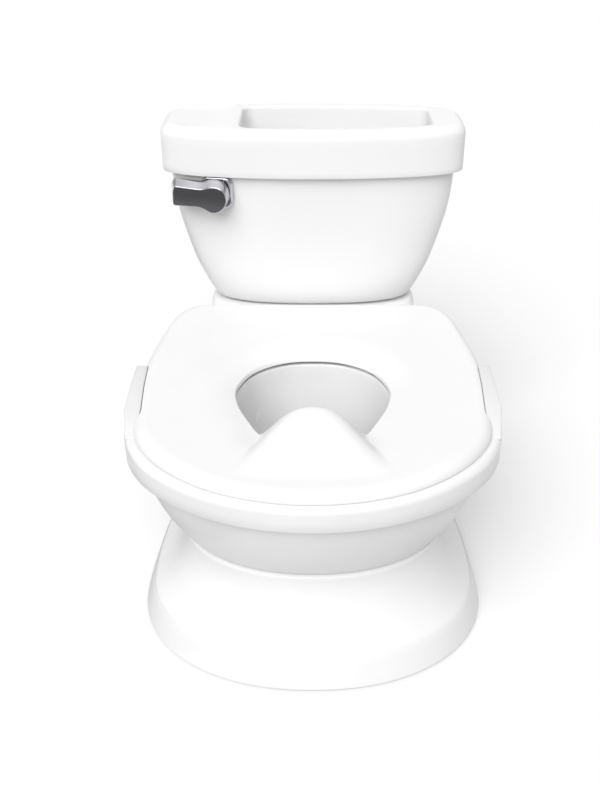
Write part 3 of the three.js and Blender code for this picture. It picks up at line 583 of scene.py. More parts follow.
# ---------------------------------------------------------------- pot
# The lift-out pot: a deep polypropylene bowl with a flat flange, and two lifting ears that
# stand up outside the seat on arms. It only rests in the sunk deck.
POT_FLOOR, POT_WALL, FLANGE = 108, 2.5, 22
FLANGE_LOW = DECK_Z + GAP
pot_low = oval(55, -122, -16, -67.5, 2.2)


def pot_ring(share, grow=0):
    outline = hole_outline + (pot_low - hole_outline) * share
    return inset(outline, -grow) if grow else outline


pot_line = softened([(1.0, 0, 0), (0.97, 8, 0), (0.5, 42, 30), (0.1, 82, 0), (0.0, 92, 0)], 8)
inside, outside = [], []
for share, height in pot_line[1:]:
    inside.append((pot_ring(share), POT_FLOOR + height + 2))
    outside.append((pot_ring(share, POT_WALL), POT_FLOOR + height + 1))
floor_line = [(16, 0), (11, 0.2), (7, 0.9), (4, 2.2), (2, 4), (0.6, 6.4)]
pot_rings = [(inset(pot_low, place), POT_FLOOR + height) for place, height in floor_line]
pot_rings += inside[:-1]
pot_rings += [(pot_ring(0), 201.2), (pot_ring(0, 0.4), 202.3), (pot_ring(0, 1.3), 203)]
pot_rings += [(pot_ring(0, FLANGE - 0.6), 203), (pot_ring(0, FLANGE), 202.5)]
pot_rings += [(pot_ring(0, FLANGE), FLANGE_LOW), (pot_ring(0, POT_WALL + 1), FLANGE_LOW)]
pot_rings += [ring for ring in reversed(outside[:-1]) if ring[1] < 199]
under_line = [(place + 0.5, height - POT_WALL) for place, height in reversed(floor_line[:-1])]
pot_rings += [(inset(pot_low, place - 1), POT_FLOOR + height) for place, height in under_line]
pot = solid("lift_out_pot", lofted(pot_rings))
for side in (1, -1):
    near, far = sorted((side * 82, side * 156))
    pot = worked(pot, solid("arm", box_part((near, -100, FLANGE_LOW), (far, -35, RIM_TOP))), "UNION")
    ear = solid("ear", ear_part(side, FLANGE_LOW, 0))
    edge = ear.modifiers.new("edge", "BEVEL")
    edge.width, edge.segments, edge.limit_method = 1.1 * MM, 3, "ANGLE"
    edge.angle_limit = math.radians(25)
    pot = worked(pot, tidied(settled(ear)), "UNION")
# The pot's two whites are darker than the other white parts. This is painted shade for its walls, not a
# greyer plastic.
pot_white = moulded_plastic("pot_polypropylene_with_painted_shade", "#DFDFDF", "#DADADA", 0.26, 2.2)
finished(pot, pot_white, "pot", "pot_white", "pot")


# ---------------------------------------------------------------- seat ring
# A hollow-backed seat moulding, contoured for a small child: a dish round the opening, a splash
# guard in front with a leg valley on each side, and a rolled edge that covers the rim.
SEAT_SKIRT, SEAT_LIP, SEAT_WALL, EAR_CLEARANCE = 203.4, 206.2, 3.2, 0.7
SEAT_HALF = [
    (0, -218.5), (43, -213.6), (80, -201), (112, -180.5), (137, -154.5), (152, -127),
    (157, -95), (159, -60), (159.5, -20), (156.5, 12), (151, 46), (145, 76), (137, 96),
    (123, 108), (103, 111), (70, 111.4), (0, 111.5),
]
GUARD_RISE, GUARD_HALF, GUARD_RUN, GUARD_LEAN = 30, 46, 56, 0.28
seat_outline = through(SEAT_HALF)


def guard_height(x, y):
    ahead = np.maximum(0, HOLE_FRONT + 1 - y)
    width = GUARD_HALF + 0.45 * ahead
    across = np.maximum(0, 1 - (np.abs(x) / width) ** 2.3) ** 1.3
    along = np.where(y > -100, 0, np.cos(np.minimum(1, ahead / GUARD_RUN) * math.pi / 2) ** 2)
    return GUARD_RISE * across * along


def seat_top(x, y, to_hole, to_edge):
    crown = 217 + 0.026 * y
    dish = (3.5 + 4.4 * np.clip((y + 75) / 70, 0, 1)) * np.maximum(0, 1 - to_hole / 32) ** 2
    roll = np.minimum(9, crown - SEAT_SKIRT - 1)
    roll = roll * (1 - np.sqrt(1 - np.maximum(0, 1 - to_edge / 12) ** 2))
    dip = 2.5 * np.exp(-(((np.abs(x) - 50) / 13) ** 2) - ((y + 128) / 22) ** 2)
    return crown - dish - roll - dip + guard_height(x, y)


def seat_ring(share, drop=0, wide=0):
    start = inset(hole_outline, -wide) if wide else hole_outline
    end = inset(seat_outline, wide) if wide else seat_outline
    reach = np.linalg.norm(seat_outline - hole_outline, axis=1)
    spot = start + (end - start) * share
    height = seat_top(spot[:, 0], spot[:, 1], share * reach, (1 - share) * reach) - drop
    lean = GUARD_LEAN * guard_height(spot[:, 0], spot[:, 1])
    return np.c_[spot[:, 0], spot[:, 1] + lean], height


sweep = np.linspace(0, 1, 64)
seat_shares = (1 - np.cos(sweep * math.pi)) / 2
top_rings = [seat_ring(share) for share in seat_shares]
LIP_ROUND = 1.2
lip_edge = [(top_rings[0][0], top_rings[0][1] - LIP_ROUND)]
for turn in np.linspace(0.15, 1, 5):
    ring, height = seat_ring(0.012 * turn)
    lip_edge.append((ring, height - LIP_ROUND * (1 - math.sin(turn * math.pi / 2))))
seat_rings = [(hole_outline, SEAT_LIP + 0.4)] + lip_edge + top_rings[3:]
seat_rings += [(seat_outline, SEAT_SKIRT + 0.5), (inset(seat_outline, 0.5), SEAT_SKIRT)]
seat_rings += [(inset(hole_outline, -5), SEAT_SKIRT), (inset(hole_outline, -5), SEAT_LIP - 0.4)]
seat_rings += [(inset(hole_outline, -3), SEAT_LIP), (inset(hole_outline, -0.5), SEAT_LIP)]
seat = solid("contoured_seat", lofted(seat_rings, closed=True))
hollow_rings = [(inset(hole_outline, -WALL), 190), (inset(seat_outline, WALL), 190)]
for share in np.linspace(0.985, 0.02, 40):
    hollow_rings.append(seat_ring(share, SEAT_WALL, WALL))
hollow = solid("hollow", lofted(hollow_rings, closed=True))
for side in (1, -1):
    hollow = worked(hollow, solid("ear_wall", ear_part(side, 180, EAR_CLEARANCE + WALL)))
    seat = worked(seat, solid("ear_gap", ear_part(side, 180, EAR_CLEARANCE)))
seat = worked(seat, hollow)
BUMPER_PLACES = [(65, -120, 210.8), (-65, -120, 210.8), (61, -12, 209.8), (-61, -12, 209.8)]
BUMPER_TOP = 205.9
for x, y, high in BUMPER_PLACES:
    post_profile = [
        (0, high), (6.3, high), (6.3, BUMPER_TOP + 0.5), (6.1, BUMPER_TOP + 0.3),
        (2.4, BUMPER_TOP + 0.3), (2.3, high - 1.2), (0, high - 1.2),
    ]
    points, faces = turned(post_profile, 32)
    seat = worked(seat, solid("bumper_post", (points + np.array([x, y, 0]) * MM, faces)), "UNION")
seat_white = moulded_plastic("moulded_seat_polypropylene", "#EAEAEA", "#E6E6E6", 0.38, 1.2)
finished(seat, seat_white, "seat", "seat_white", "seat")


# ---------------------------------------------------------------- seat bumpers
# Four rubber buttons pressed into posts under the seat, which stand on the pot's flange and
# keep a thin gap all round the opening.
bumper_profile = [
    (0, 203.3), (5, 203.3), (5.6, 203.5), (6, 204), (6, 205.2), (5.7, 205.7), (5.2, BUMPER_TOP),
    (2, BUMPER_TOP), (2, 207.6), (1.6, 208), (0, 208),
]
seat_bumpers = repeated(
    "seat_bumpers",
    solid("bumper_template", turned(bumper_profile, 40)),
    [(x, y, 0) for x, y, high in BUMPER_PLACES],
    grey_rubber,
)
bumper_names = [name.replace("foot_pad", "seat_bumper") for name in pad_names]
finished(seat_bumpers, grey_rubber, "seat", "grey_rubber", *bumper_names)


# ---------------------------------------------------------------- tank
# A thin-walled polypropylene tank that tapers down to the plinth with curved sides. Its back
# has the battery opening and the louvres for the speaker.
TANK_MID, TANK_WALL = 164.5, 2.8
TANK_ROWS = [
    (209.3, 85, 129, 199), (212, 98, 123, 205), (218, 107, 120, 208), (246, 121.5, 118.4, 211),
    (274, 131, 117.2, 213.3), (314, 141, 115.2, 216), (352, 144.5, 113, 218),
    (361.7, 144.5, 113, 218),
]
DOOR_LEFT, DOOR_RIGHT, DOOR_LOW, DOOR_HIGH, DOOR_SCREW_Z = -74, -16, 280, 322, 285.6
DOOR_GAP = 0.4
BACK = (190, 230)  # depths that a cut through the tank's back spans
SPEAKER_X, SPEAKER_Z = -45, 263


def tank_rows(count, low=0.0):
    """Rows of height, half width, front and rear on a smooth curve through the tank's rows."""
    rows = np.array(TANK_ROWS, float)
    padded = np.vstack([2 * rows[0] - rows[1], rows, 2 * rows[-1] - rows[-2]])
    line = []
    for place in np.linspace(low, len(rows) - 1, count):
        i = min(int(place), len(rows) - 2)
        t = place - i
        p0, p1, p2, p3 = padded[i : i + 4]
        bend = 2 * p0 - 5 * p1 + 4 * p2 - p3
        twist = 3 * p1 - p0 - 3 * p2 + p3
        line.append(0.5 * (2 * p1 + (p2 - p0) * t + bend * t**2 + twist * t**3))
    return line


def tank_ring(row, wall=0.0):
    height, half, front, rear = row
    return oval(half - wall, front + wall, rear - wall, TANK_MID, 4, 8)


tank_rings = [(tank_ring(TANK_ROWS[0], 3), TANK_ROWS[0][0])]
for row in tank_rows(60):
    tank_rings.append((tank_ring(row), row[0]))
top_row = TANK_ROWS[-1]
tank_rings += [(tank_ring(top_row, 2.2), 361.7)]
for row in reversed(tank_rows(30, 1.0)):
    tank_rings.append((tank_ring(row, TANK_WALL), min(row[0], 360.9)))
tank_rings.append((tank_ring(TANK_ROWS[1], 12), 212))


def slab(left, right, low, high, front, rear, corner, steps=6):
    """A plate standing across the tank, with rounded corners, between two depths."""
    outline = []
    centres = [(right, high, 0), (left, high, 1), (left, low, 2), (right, low, 3)]
    for x, z, quarter in centres:
        x += -corner if x == right else corner
        z += -corner if z == high else corner
        for turn in np.linspace(0, math.pi / 2, steps) + quarter * math.pi / 2:
            outline.append((x + corner * math.cos(turn), z + corner * math.sin(turn)))
    count = len(outline)
    points = [(x, y, z) for y in (front, rear) for x, z in outline]
    faces = [tuple(range(count)), tuple(range(count, 2 * count))[::-1]]
    faces += [(i, (i + 1) % count, count + (i + 1) % count, count + i) for i in range(count)]
    return np.array(points, float) * MM, faces


tank = solid("tank_shell", lofted(tank_rings))
door_hole = slab(
    DOOR_LEFT - DOOR_GAP, DOOR_RIGHT + DOOR_GAP, DOOR_LOW - DOOR_GAP, DOOR_HIGH + DOOR_GAP, *BACK, 5
)
tank = worked(tank, solid("door_hole", door_hole))
for row in range(-2, 3):
    half = 12 - 1.6 * row * row
    z = SPEAKER_Z + 5 * row
    louvre = slab(SPEAKER_X - half, SPEAKER_X + half, z - 1.1, z + 1.1, *BACK, 1.05)
    tank = worked(tank, solid("louvre", louvre))
POST_X, POST_Y = 62, 162
POST_PROFILE = [(6.5, 211.5), (5.7, 213), (5.5, 231), (4.9, 232), (2.3, 232), (2.3, 228)]
for side in (1, -1):
    post = lofted([
        (oval(radius, POST_Y - radius, POST_Y + radius, POST_Y) + [side * POST_X, 0], height)
        for radius, height in POST_PROFILE
    ])
    tank = worked(tank, solid("screw_post", post), "UNION")
finished(tank, gloss_white, "base", "shell_white", "tank_body")


# ---------------------------------------------------------------- tank screws
# Two more of the same screws hold the tank down through the plinth, from under the rear deck.
TANK_SCREW = (4, 2.6, 1.9, 22.6)
tank_screws = repeated(
    "tank_screws",
    screw_template(*TANK_SCREW),
    [(side * POST_X, POST_Y, PLINTH_Z - WALL - GAP - TANK_SCREW[1]) for side in (1, -1)],
    zinc_steel,
)
finished(tank_screws, zinc_steel, "base", "hardware_steel", "tank_screw_1", "tank_screw_2")


# ---------------------------------------------------------------- sound module
# A grey ABS box screwed inside the tank's back. It holds the board, speaker and switch on its
# front side, behind a cover, and the two battery cells behind it. Its solids only get a finish.
def repaint(material, *nodes):
    """Gives the design's own solids a finish, and leaves their shapes alone."""
    for node in nodes:
        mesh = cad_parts[node].data
        mesh.materials.clear()
        mesh.materials.append(material)


grey_abs = moulded_plastic("moulded_grey_abs", "#B9BCBE", "#B0B3B6", 0.45, 0.8)
black_abs = moulded_plastic("moulded_black_abs", "#232325", "#1C1C1E", 0.42, 0.8)
repaint(grey_abs, "sound_module_case", "sound_module_cover", "switch_plunger")
repaint(black_abs, "switch_body")

for label, head, low, places, names in (
    ("cover_screws", (2.8, 1.6, 1.4, 11.6), 146.8, [(-65, 254), (-25, 254)], "cover_screw"),
    ("case_screws", (3.2, 2, 1.6, 12), 188.7, [(-79.5, 266), (-10.5, 266)], "case_screw"),
):
    made = repeated(
        label,
        screw_template(*head),
        [(x, low, z) for x, z in places],
        zinc_steel,
        turn=(-90, 0, 0),
    )
    finished(made, zinc_steel, "base", "hardware_steel", names + "_1", names + "_2")


# ---------------------------------------------------------------- circuit board
# Glass-epoxy board under a green solder mask. Copper tracks show through it as paler lines.
def solder_mask(name):
    """Screen-printed solder mask over etched copper: glossy green, with paler track areas."""
    material, tree, shader, where = new_finish(name)
    shader.inputs["Roughness"].default_value = 0.3
    cells = put(
        tree,
        "ShaderNodeTexVoronoi",
        {"Vector": where, "Scale": 1 / 0.005},
        feature="DISTANCE_TO_EDGE",
        distance="MANHATTAN",
    )
    track = put(
        tree,
        "ShaderNodeMapRange",
        {"Value": cells.outputs["Distance"], "From Min": 0.06, "From Max": 0.09},
    )
    tint = put(
        tree,
        "ShaderNodeMix",
        {0: track.outputs["Result"], 6: colour("#3E8A58"), 7: colour("#1E5A37")},
        data_type="RGBA",
    )
    tree.links.new(tint.outputs[2], shader.inputs["Base Color"])
    raised = put(
        tree,
        "ShaderNodeBump",
        {"Height": track.outputs["Result"], "Strength": 0.4, "Distance": 0.00004},
    )
    raised.invert = True
    tree.links.new(raised.outputs["Normal"], shader.inputs["Normal"])
    return material


repaint(solder_mask("green_solder_mask"), "circuit_board")


# ---------------------------------------------------------------- speaker
# A small pressed-basket speaker with a paper cone and a dust cap, facing the louvres.
speaker_profile = [
    (0, 189.5), (7.6, 189.5), (8, 189.9), (8, 194.4), (9.5, 194.5), (12.7, 194.7), (13, 195),
    (13, 200), (12.7, 200.5), (11.2, 200.5), (10.8, 200), (10.4, 199.9), (9.9, 200.2), (9.3, 200.3),
    (8.7, 199.8), (4.9, 197.2), (4.5, 197.6), (3.2, 198.5), (1.6, 198.9), (0, 199),
]


def paper_cone(name):
    """Pressed black paper pulp: matt, with short felted fibres in its surface."""
    material, tree, shader, where = new_finish(name)
    shader.inputs["Base Color"].default_value = colour("#262628")
    shader.inputs["Roughness"].default_value = 0.85
    fibre = put(tree, "ShaderNodeTexNoise", {"Vector": where, "Scale": 1 / 0.0008, "Detail": 6.0})
    felt = put(
        tree,
        "ShaderNodeBump",
        {"Height": fibre.outputs["Fac"], "Strength": 0.4, "Distance": 0.0001},
    )
    tree.links.new(felt.outputs["Normal"], shader.inputs["Normal"])
    return material


points, faces = turned(speaker_profile, 64)
black_paper = paper_cone("pressed_black_paper")
standing = points[:, [0, 2, 1]] + np.array([SPEAKER_X, 0, SPEAKER_Z]) * MM
speaker = solid("speaker_unit", (standing, faces))
finished(speaker, black_paper, "base", "part_black", "speaker")


# ---------------------------------------------------------------- battery cells
# Two AAA cells in printed plastic sleeves, with a steel button at one end and a rolled edge at
# the other. They lie between sprung steel contacts.
def sleeved_cell(name):
    """A shrunk vinyl sleeve: glossy and dark, and copper-coloured beyond one end of it."""
    material, tree, shader, where = new_finish(name)
    shader.inputs["IOR"].default_value = 1.53
    shader.inputs["Roughness"].default_value = 0.24
    axes = put(tree, "ShaderNodeSeparateXYZ", {"Vector": where})
    band = put(
        tree,
        "ShaderNodeMapRange",
        {"Value": axes.outputs["X"], "From Min": -0.0312, "From Max": -0.0308},
    )
    tint = put(
        tree,
        "ShaderNodeMix",
        {0: band.outputs["Result"], 6: colour("#27282B"), 7: colour("#A98B4E")},
        data_type="RGBA",
    )
    tree.links.new(tint.outputs[2], shader.inputs["Base Color"])
    ripple = put(tree, "ShaderNodeTexNoise", {"Vector": where, "Scale": 1 / 0.003, "Detail": 2.0})
    shrunk = put(
        tree,
        "ShaderNodeBump",
        {"Height": ripple.outputs["Fac"], "Strength": 0.2, "Distance": 0.0001},
    )
    tree.links.new(shrunk.outputs["Normal"], shader.inputs["Normal"])
    return material


cell_sleeve = sleeved_cell("shrunk_vinyl_sleeve")
cell_profile = [
    (0, 0.4), (4.3, 0.4), (4.6, 0), (5, 0.1), (5.25, 0.6), (5.25, 42.2), (5.05, 42.8), (4.6, 43.1),
    (4.3, 42.9), (2.1, 42.9), (1.9, 43.2), (1.9, 44.2), (1.6, 44.5), (0, 44.5),
]
cells = repeated(
    "battery_cells",
    solid("cell_template", turned(cell_profile)),
    [(-67.25, 196.4, z) for z in (296, 309.5)],
    cell_sleeve,
    turn=(0, 90, 0),
)
finished(cells, cell_sleeve, "base", "cell_black", "battery_cell_1", "battery_cell_2")
nickel = plated_steel("nickel_plated_spring_steel", "#CFCBC2", 0.25)
repaint(nickel, "battery_contact_1", "battery_contact_2")


# ---------------------------------------------------------------- battery door
# A small moulded panel that follows the tank's back, held by one screw.
def thick_back(rows, outer, inner):
    """Two skins along the tank's rows, each inside its wall by a distance."""
    return [lofted([(tank_ring(row, wall), row[0]) for row in rows]) for wall in (outer, inner)]


door_rows = [row for row in tank_rows(80) if 268 < row[0] < 334]
door_outer, door_inner = thick_back(door_rows, 0, 2.4)
door = solid("battery_panel", door_outer)
panel = solid("panel", slab(DOOR_LEFT, DOOR_RIGHT, DOOR_LOW, DOOR_HIGH, *BACK, 4.6))
door = worked(door, panel, "INTERSECT")
door = worked(door, solid("inner", door_inner))
for line in range(4):
    z = 313 + 2 * line
    groove = slab(-57, -33, z - 0.4, z + 0.4, 214.4, 230, 0.38)
    door = worked(door, solid("grip_groove", groove))
finished(door, gloss_white, "base", "shell_white", "battery_door")

door_screw = repeated(
    "battery_panel_screw",
    screw_template(3.2, 1.8, 1.5, 17.8),
    [(-45, 215.9, DOOR_SCREW_Z)],
    zinc_steel,
    turn=(90, 0, 0),
)
finished(door_screw, zinc_steel, "base", "hardware_steel", "battery_door_screw")


# ---------------------------------------------------------------- tank lid and wipes tray
# The lid lifts off: a deep-skirted moulding with a bowed front, rounded shoulders, a shallow
# dished land over the flush works, and a deep tray beside it for a pack of wipes.
LID_HALF, LID_DEPTH, LID_POWER, LID_BOW, LID_ROUND = 152, 59.5, 6, 15, 10
LID_TOP, LID_SKIRT, TANK_TOP, TRAY_FLOOR = 400, 354, 362, 340
TRAY_LEFT, TRAY_RIGHT, TRAY_CORNER, FRONT_LIP, REAR_LIP = -72, 118, 12, 15, 19
TRAY_MIDDLE = (TRAY_LEFT + TRAY_RIGHT) / 2
FRONT_BOW = 24  # of the tray's front wall; its rear wall bows as the lid does


def lid_ring(place):
    """The lid's outline, moved in by a distance."""
    half, deep = LID_HALF - place, LID_DEPTH - place
    power = LID_POWER - 0.12 * place
    return oval(half, TANK_MID - deep, TANK_MID + deep, TANK_MID, power, LID_BOW * deep / LID_DEPTH)


def tray_ring(grow):
    def edge(x, lip, bow, sign):
        return TANK_MID + sign * (LID_DEPTH - lip - bow * (x / LID_HALF) ** 2 + grow)

    low, high, reach = TRAY_LEFT - grow, TRAY_RIGHT + grow, max(TRAY_CORNER + grow, 1)
    line = []
    corners = [
        (high - reach, FRONT_LIP, FRONT_BOW, -1, -0.5), (high - reach, REAR_LIP, LID_BOW, 1, 0),
        (low + reach, REAR_LIP, LID_BOW, 1, 0.5), (low + reach, FRONT_LIP, FRONT_BOW, -1, 1),
    ]
    front = np.linspace(TRAY_MIDDLE, high - reach, 30)[:-1]
    line += [(x, edge(x, FRONT_LIP, FRONT_BOW, -1)) for x in front]
    for k, (x, lip, bow, sign, start) in enumerate(corners):
        y = edge(x, lip, bow, sign) - sign * reach
        for turn in np.linspace(0, 0.5, 12):
            angle = (start + turn) * math.pi
            line.append((x + reach * math.cos(angle), y + reach * math.sin(angle)))
        if k == 1:
            rear = np.linspace(high - reach, low + reach, 60)[1:-1]
            line += [(x, edge(x, REAR_LIP, LID_BOW, 1)) for x in rear]
    front = np.linspace(low + reach, TRAY_MIDDLE, 30)[1:-1]
    line += [(x, edge(x, FRONT_LIP, FRONT_BOW, -1)) for x in front]
    return evenly(np.array(line))


EDGE = 3.0  # rounding where the lid's top turns down into the tray
lid_rings = [(tray_ring(-12), TRAY_FLOOR), (tray_ring(-6), TRAY_FLOOR)]
for turn in np.linspace(0.15, 1, 6) * math.pi / 2:
    lid_rings.append((tray_ring(-5 * (1 - math.sin(turn))), TRAY_FLOOR + 5 * (1 - math.cos(turn))))
for height in np.linspace(352, LID_TOP - EDGE, 8):
    lid_rings.append((tray_ring(0), height))
mouth, shoulder = tray_ring(EDGE), lid_ring(LID_ROUND)
for turn in np.linspace(0, 1, 7)[1:] * math.pi / 2:
    mouth_ring = tray_ring(EDGE * (1 - math.cos(turn)))
    lid_rings.append((mouth_ring, LID_TOP - EDGE * (1 - math.sin(turn))))
for share in np.linspace(0, 1, 26)[1:]:
    spot = mouth + (shoulder - mouth) * share
    land = np.clip((-78 - spot[:, 0]) / 62, 0, 1)
    dish = 2.6 * np.sin(land**0.8 * math.pi) * np.sin(share * math.pi) ** 0.6
    lid_rings.append((spot, LID_TOP - dish))
for turn in np.linspace(0, 1, 9)[1:] * math.pi / 2:
    shoulder_ring = lid_ring(LID_ROUND * (1 - math.sin(turn)))
    lid_rings.append((shoulder_ring, LID_TOP - LID_ROUND * (1 - math.cos(turn))))
for height in np.linspace(382, LID_SKIRT + 1, 6):
    lid_rings.append((lid_ring(0), height))
lid_rings += [(lid_ring(0.3), LID_SKIRT + 0.3), (lid_ring(1), LID_SKIRT), (lid_ring(2.8), LID_SKIRT)]
lid_rings += [(lid_ring(3.4), LID_SKIRT + 0.6), (lid_ring(3.4), TANK_TOP), (lid_ring(11), TANK_TOP)]
lid_rings += [(lid_ring(12), TANK_TOP + 0.6), (lid_ring(12), TANK_TOP + 3), (lid_ring(4), TANK_TOP + 3)]
lid_rings += [(lid_ring(4), 388), (lid_ring(8), 394), (tray_ring(3), 394), (tray_ring(2.5), 390)]
lid_rings += [(tray_ring(2.5), TRAY_FLOOR + 2), (tray_ring(0), TRAY_FLOOR - 2.6)]
lid_rings += [(tray_ring(-8), TRAY_FLOOR - 3)]
lid = solid("tank_lid_moulding", lofted(lid_rings))
finished(lid, gloss_white, "lid", "shell_white", "tank_lid")


# ---------------------------------------------------------------- lever plate
# A square plate with soft corners on the tank's front, chromed like the lever. Its sleeve goes
# through the tank wall and takes the nut.
PIVOT, PIVOT_TURN = (-95, 118.1, 338), -0.186


def from_pivot(points):
    """Points in the pivot's own frame, -Y towards the child, put into the chair's."""
    turned_x = points[:, 0] * math.cos(PIVOT_TURN) - points[:, 1] * math.sin(PIVOT_TURN)
    turned_y = points[:, 0] * math.sin(PIVOT_TURN) + points[:, 1] * math.cos(PIVOT_TURN)
    return np.stack([turned_x, turned_y, points[:, 2]], 1) + np.array(PIVOT) * MM


def across_pivot(rings, closed=False):
    """A skin through (outline in X and Z, Y) rings in the pivot's frame, in the chair's."""
    points, faces = lofted(rings, closed)
    return from_pivot(points[:, [0, 2, 1]]), faces


def turned_at_pivot(profile):
    """A round part on the pivot's axis, from its (radius, depth) profile."""
    points, faces = turned(profile)
    return from_pivot(points[:, [0, 2, 1]]), faces


def metallised_abs(name, shade, gloss):
    """ABS with vacuum-metallised chrome under clear lacquer: a mirror, a little wavy where the
    moulding sank, and veiled by fine wiping marks."""
    material, tree, shader, where = new_finish(name)
    shader.inputs["Metallic"].default_value = 1.0
    shader.inputs["Coat Weight"].default_value = 0.35
    shader.inputs["Coat Roughness"].default_value = 0.04
    cloud = put(tree, "ShaderNodeTexNoise", {"Vector": where, "Scale": 1 / 0.012, "Detail": 2.0})
    dull = [channel * 0.9 for channel in colour(shade)[:3]] + [1]
    tint = put(
        tree,
        "ShaderNodeMix",
        {0: cloud.outputs["Fac"], 6: colour(shade), 7: dull},
        data_type="RGBA",
    )
    tree.links.new(tint.outputs[2], shader.inputs["Base Color"])
    wiped = put(
        tree,
        "ShaderNodeMapping",
        {"Vector": where, "Scale": (1 / 0.012, 1 / 0.0015, 1 / 0.0008)},
    )
    marks = put(
        tree,
        "ShaderNodeTexNoise",
        {"Vector": wiped.outputs["Vector"], "Scale": 1.0, "Detail": 3.0},
    )
    spread = put(
        tree,
        "ShaderNodeMapRange",
        {"Value": marks.outputs["Fac"], "To Min": gloss - 0.03, "To Max": gloss + 0.05},
    )
    tree.links.new(spread.outputs["Result"], shader.inputs["Roughness"])
    sink = put(tree, "ShaderNodeTexNoise", {"Vector": where, "Scale": 1 / 0.014, "Detail": 0.0})
    wavy = put(
        tree,
        "ShaderNodeBump",
        {"Height": sink.outputs["Fac"], "Strength": 0.08, "Distance": 0.0003},
    )
    tree.links.new(wavy.outputs["Normal"], shader.inputs["Normal"])
    return material


chrome = metallised_abs("vacuum_metallised_chrome", "#C4C4C8", 0.07)


def rounded_plate(left, right, low, high, corner):
    """The plate's outline, with round corners, evenly spaced."""
    line = []
    for x, z, quarter in (
        (right - corner, low + corner, 3), (right - corner, high - corner, 0),
        (left + corner, high - corner, 1), (left + corner, low + corner, 2),
    ):
        for turn in np.linspace(0, QUARTER, 12) + quarter * QUARTER:
            line.append((x + corner * math.cos(turn), z + corner * math.sin(turn)))
    return evenly(np.array(line))


PLATE_TOP = LID_SKIRT - PIVOT[2] - 0.6
plate = rounded_plate(-16, 16, -16, PLATE_TOP, 8)
plate_rings = [(plate, 7), (plate, -3.2)]
for turn in np.linspace(0, QUARTER, 6)[1:]:
    plate_rings.append((inset(plate, 1.8 * (1 - math.cos(turn))), -3.2 - 1.8 * math.sin(turn)))
escutcheon = solid("lever_plate", across_pivot(plate_rings))
core = [(tank_ring(row, -0.3), row[0]) for row in tank_rows(40)]
escutcheon = worked(escutcheon, solid("tank_core", lofted(core)))
sleeve = turned_at_pivot([(0, -3), (6.2, -3), (6.2, 14.6), (5.8, 15), (0, 15)])
escutcheon = worked(escutcheon, solid("sleeve", sleeve), "UNION")
BORE = 4.3  # radius round the shaft
bore = turned_at_pivot([(0, -8), (BORE, -8), (BORE, 18), (0, 18)])
escutcheon = worked(escutcheon, solid("bore", bore))
finished(escutcheon, chrome, "base", "lever_chrome", "lever_escutcheon")
repaint(grey_abs, "lever_nut")


# ---------------------------------------------------------------- flush lever
# The handle: a chromed moulding with a round hub low at its right and a straight grip. Its sides
# draft in to a flat front face with a rounded edge.
LEVER_PATH = [
    ((-40, 14), (-44.5, 13), (-45.5, 6)), ((-45.5, 6), None, (-46, -6)),
    ((-46, -6), (-45.5, -10.6), (-41, -10.8)), ((-41, -10.8), None, (-21, -10.8)),
    ((-21, -10.8), (-15, -10.8), (-10, -14)), ((-10, -14), (-4, -17.6), (3, -15.4)),
    ((3, -15.4), (13, -11), (14, 0)), ((14, 0), (13.6, 14), (0, 15)),
    ((0, 15), (-6, 15.2), (-11, 13)), ((-11, 13), (-15, 12), (-20, 12.6)),
    ((-20, 12.6), None, (-40, 14)),
]
LEVER_BACK, LEVER_FACE = -7.2, -20.2
FACE_SHIFT = np.array([2.6, -2.2])  # the sides draft in to a smaller face, low and to the right
DRAFT, FACE_ROUND = 2.3, 0.8
grip = []
for start, bend, end in LEVER_PATH:
    start, end = np.array(start, float), np.array(end, float)
    bend = (start + end) / 2 if bend is None else np.array(bend, float)
    for t in np.linspace(0, 1, 24, endpoint=False):
        grip.append((1 - t) ** 2 * start + 2 * t * (1 - t) * bend + t * t * end)
grip = evenly(np.array(grip))
lever_rings = [(inset(grip, 2.5), LEVER_BACK), (inset(grip, 0.5), LEVER_BACK)]
lever_rings += [(inset(grip, 0.1), LEVER_BACK - 0.3), (grip, LEVER_BACK - 0.9)]
for share, place in ((0.3, 0.5), (0.6, 1.2), (1.0, DRAFT)):
    depth = LEVER_BACK - 0.9 + share * (LEVER_FACE + 1.7 - LEVER_BACK)
    lever_rings.append((inset(grip, place) + share * FACE_SHIFT, depth))
for turn in np.linspace(0, QUARTER, 6)[1:]:
    place = DRAFT + FACE_ROUND * (1 - math.cos(turn))
    lever_rings.append((inset(grip, place) + FACE_SHIFT, LEVER_FACE + 0.85 - 0.83 * math.sin(turn)))
lever_rings += [(inset(grip, place) + FACE_SHIFT, LEVER_FACE) for place in (3.3, 3.8)]
lever = solid("flush_lever_moulding", across_pivot(lever_rings))
hub = turned_at_pivot([(0, -9.5), (8, -9.5), (8, -6.6), (7.6, -6.2), (0, -6.2)])
lever = worked(lever, solid("hub", hub), "UNION")
socket = turned_at_pivot([(0, -15), (BORE, -15), (BORE, -5), (0, -5)])
lever = worked(lever, solid("socket", socket))
finished(lever, chrome, "lever", "lever_chrome", "flush_lever")


# ---------------------------------------------------------------- lever shaft and crank
# A steel shaft keyed into the lever, and a grey ABS crank on its inner end whose ball tip
# presses the module's plunger. One screw in the shaft's end holds the crank.
repaint(zinc_steel, "lever_shaft")
repaint(grey_abs, "lever_crank")
SHAFT_END = 48.5


def onto_pivot(made, depth, sense):
    """Lays a part made along +Z on the pivot's axis, from a depth, inwards or outwards."""
    points = np.array([vertex.co for vertex in made.data.vertices])
    along = depth * MM + sense * points[:, 2]
    placed = from_pivot(np.stack([points[:, 0], along, points[:, 1]], 1))
    for vertex, place in zip(made.data.vertices, placed):
        vertex.co = place
    return tidied(made)


crank_screw = onto_pivot(screw_template(5, 2.2, 1.7, 13.2), SHAFT_END, -1)
crank_screw.name = "crank_end_screw"
finished(crank_screw, zinc_steel, "lever", "hardware_steel", "crank_screw")


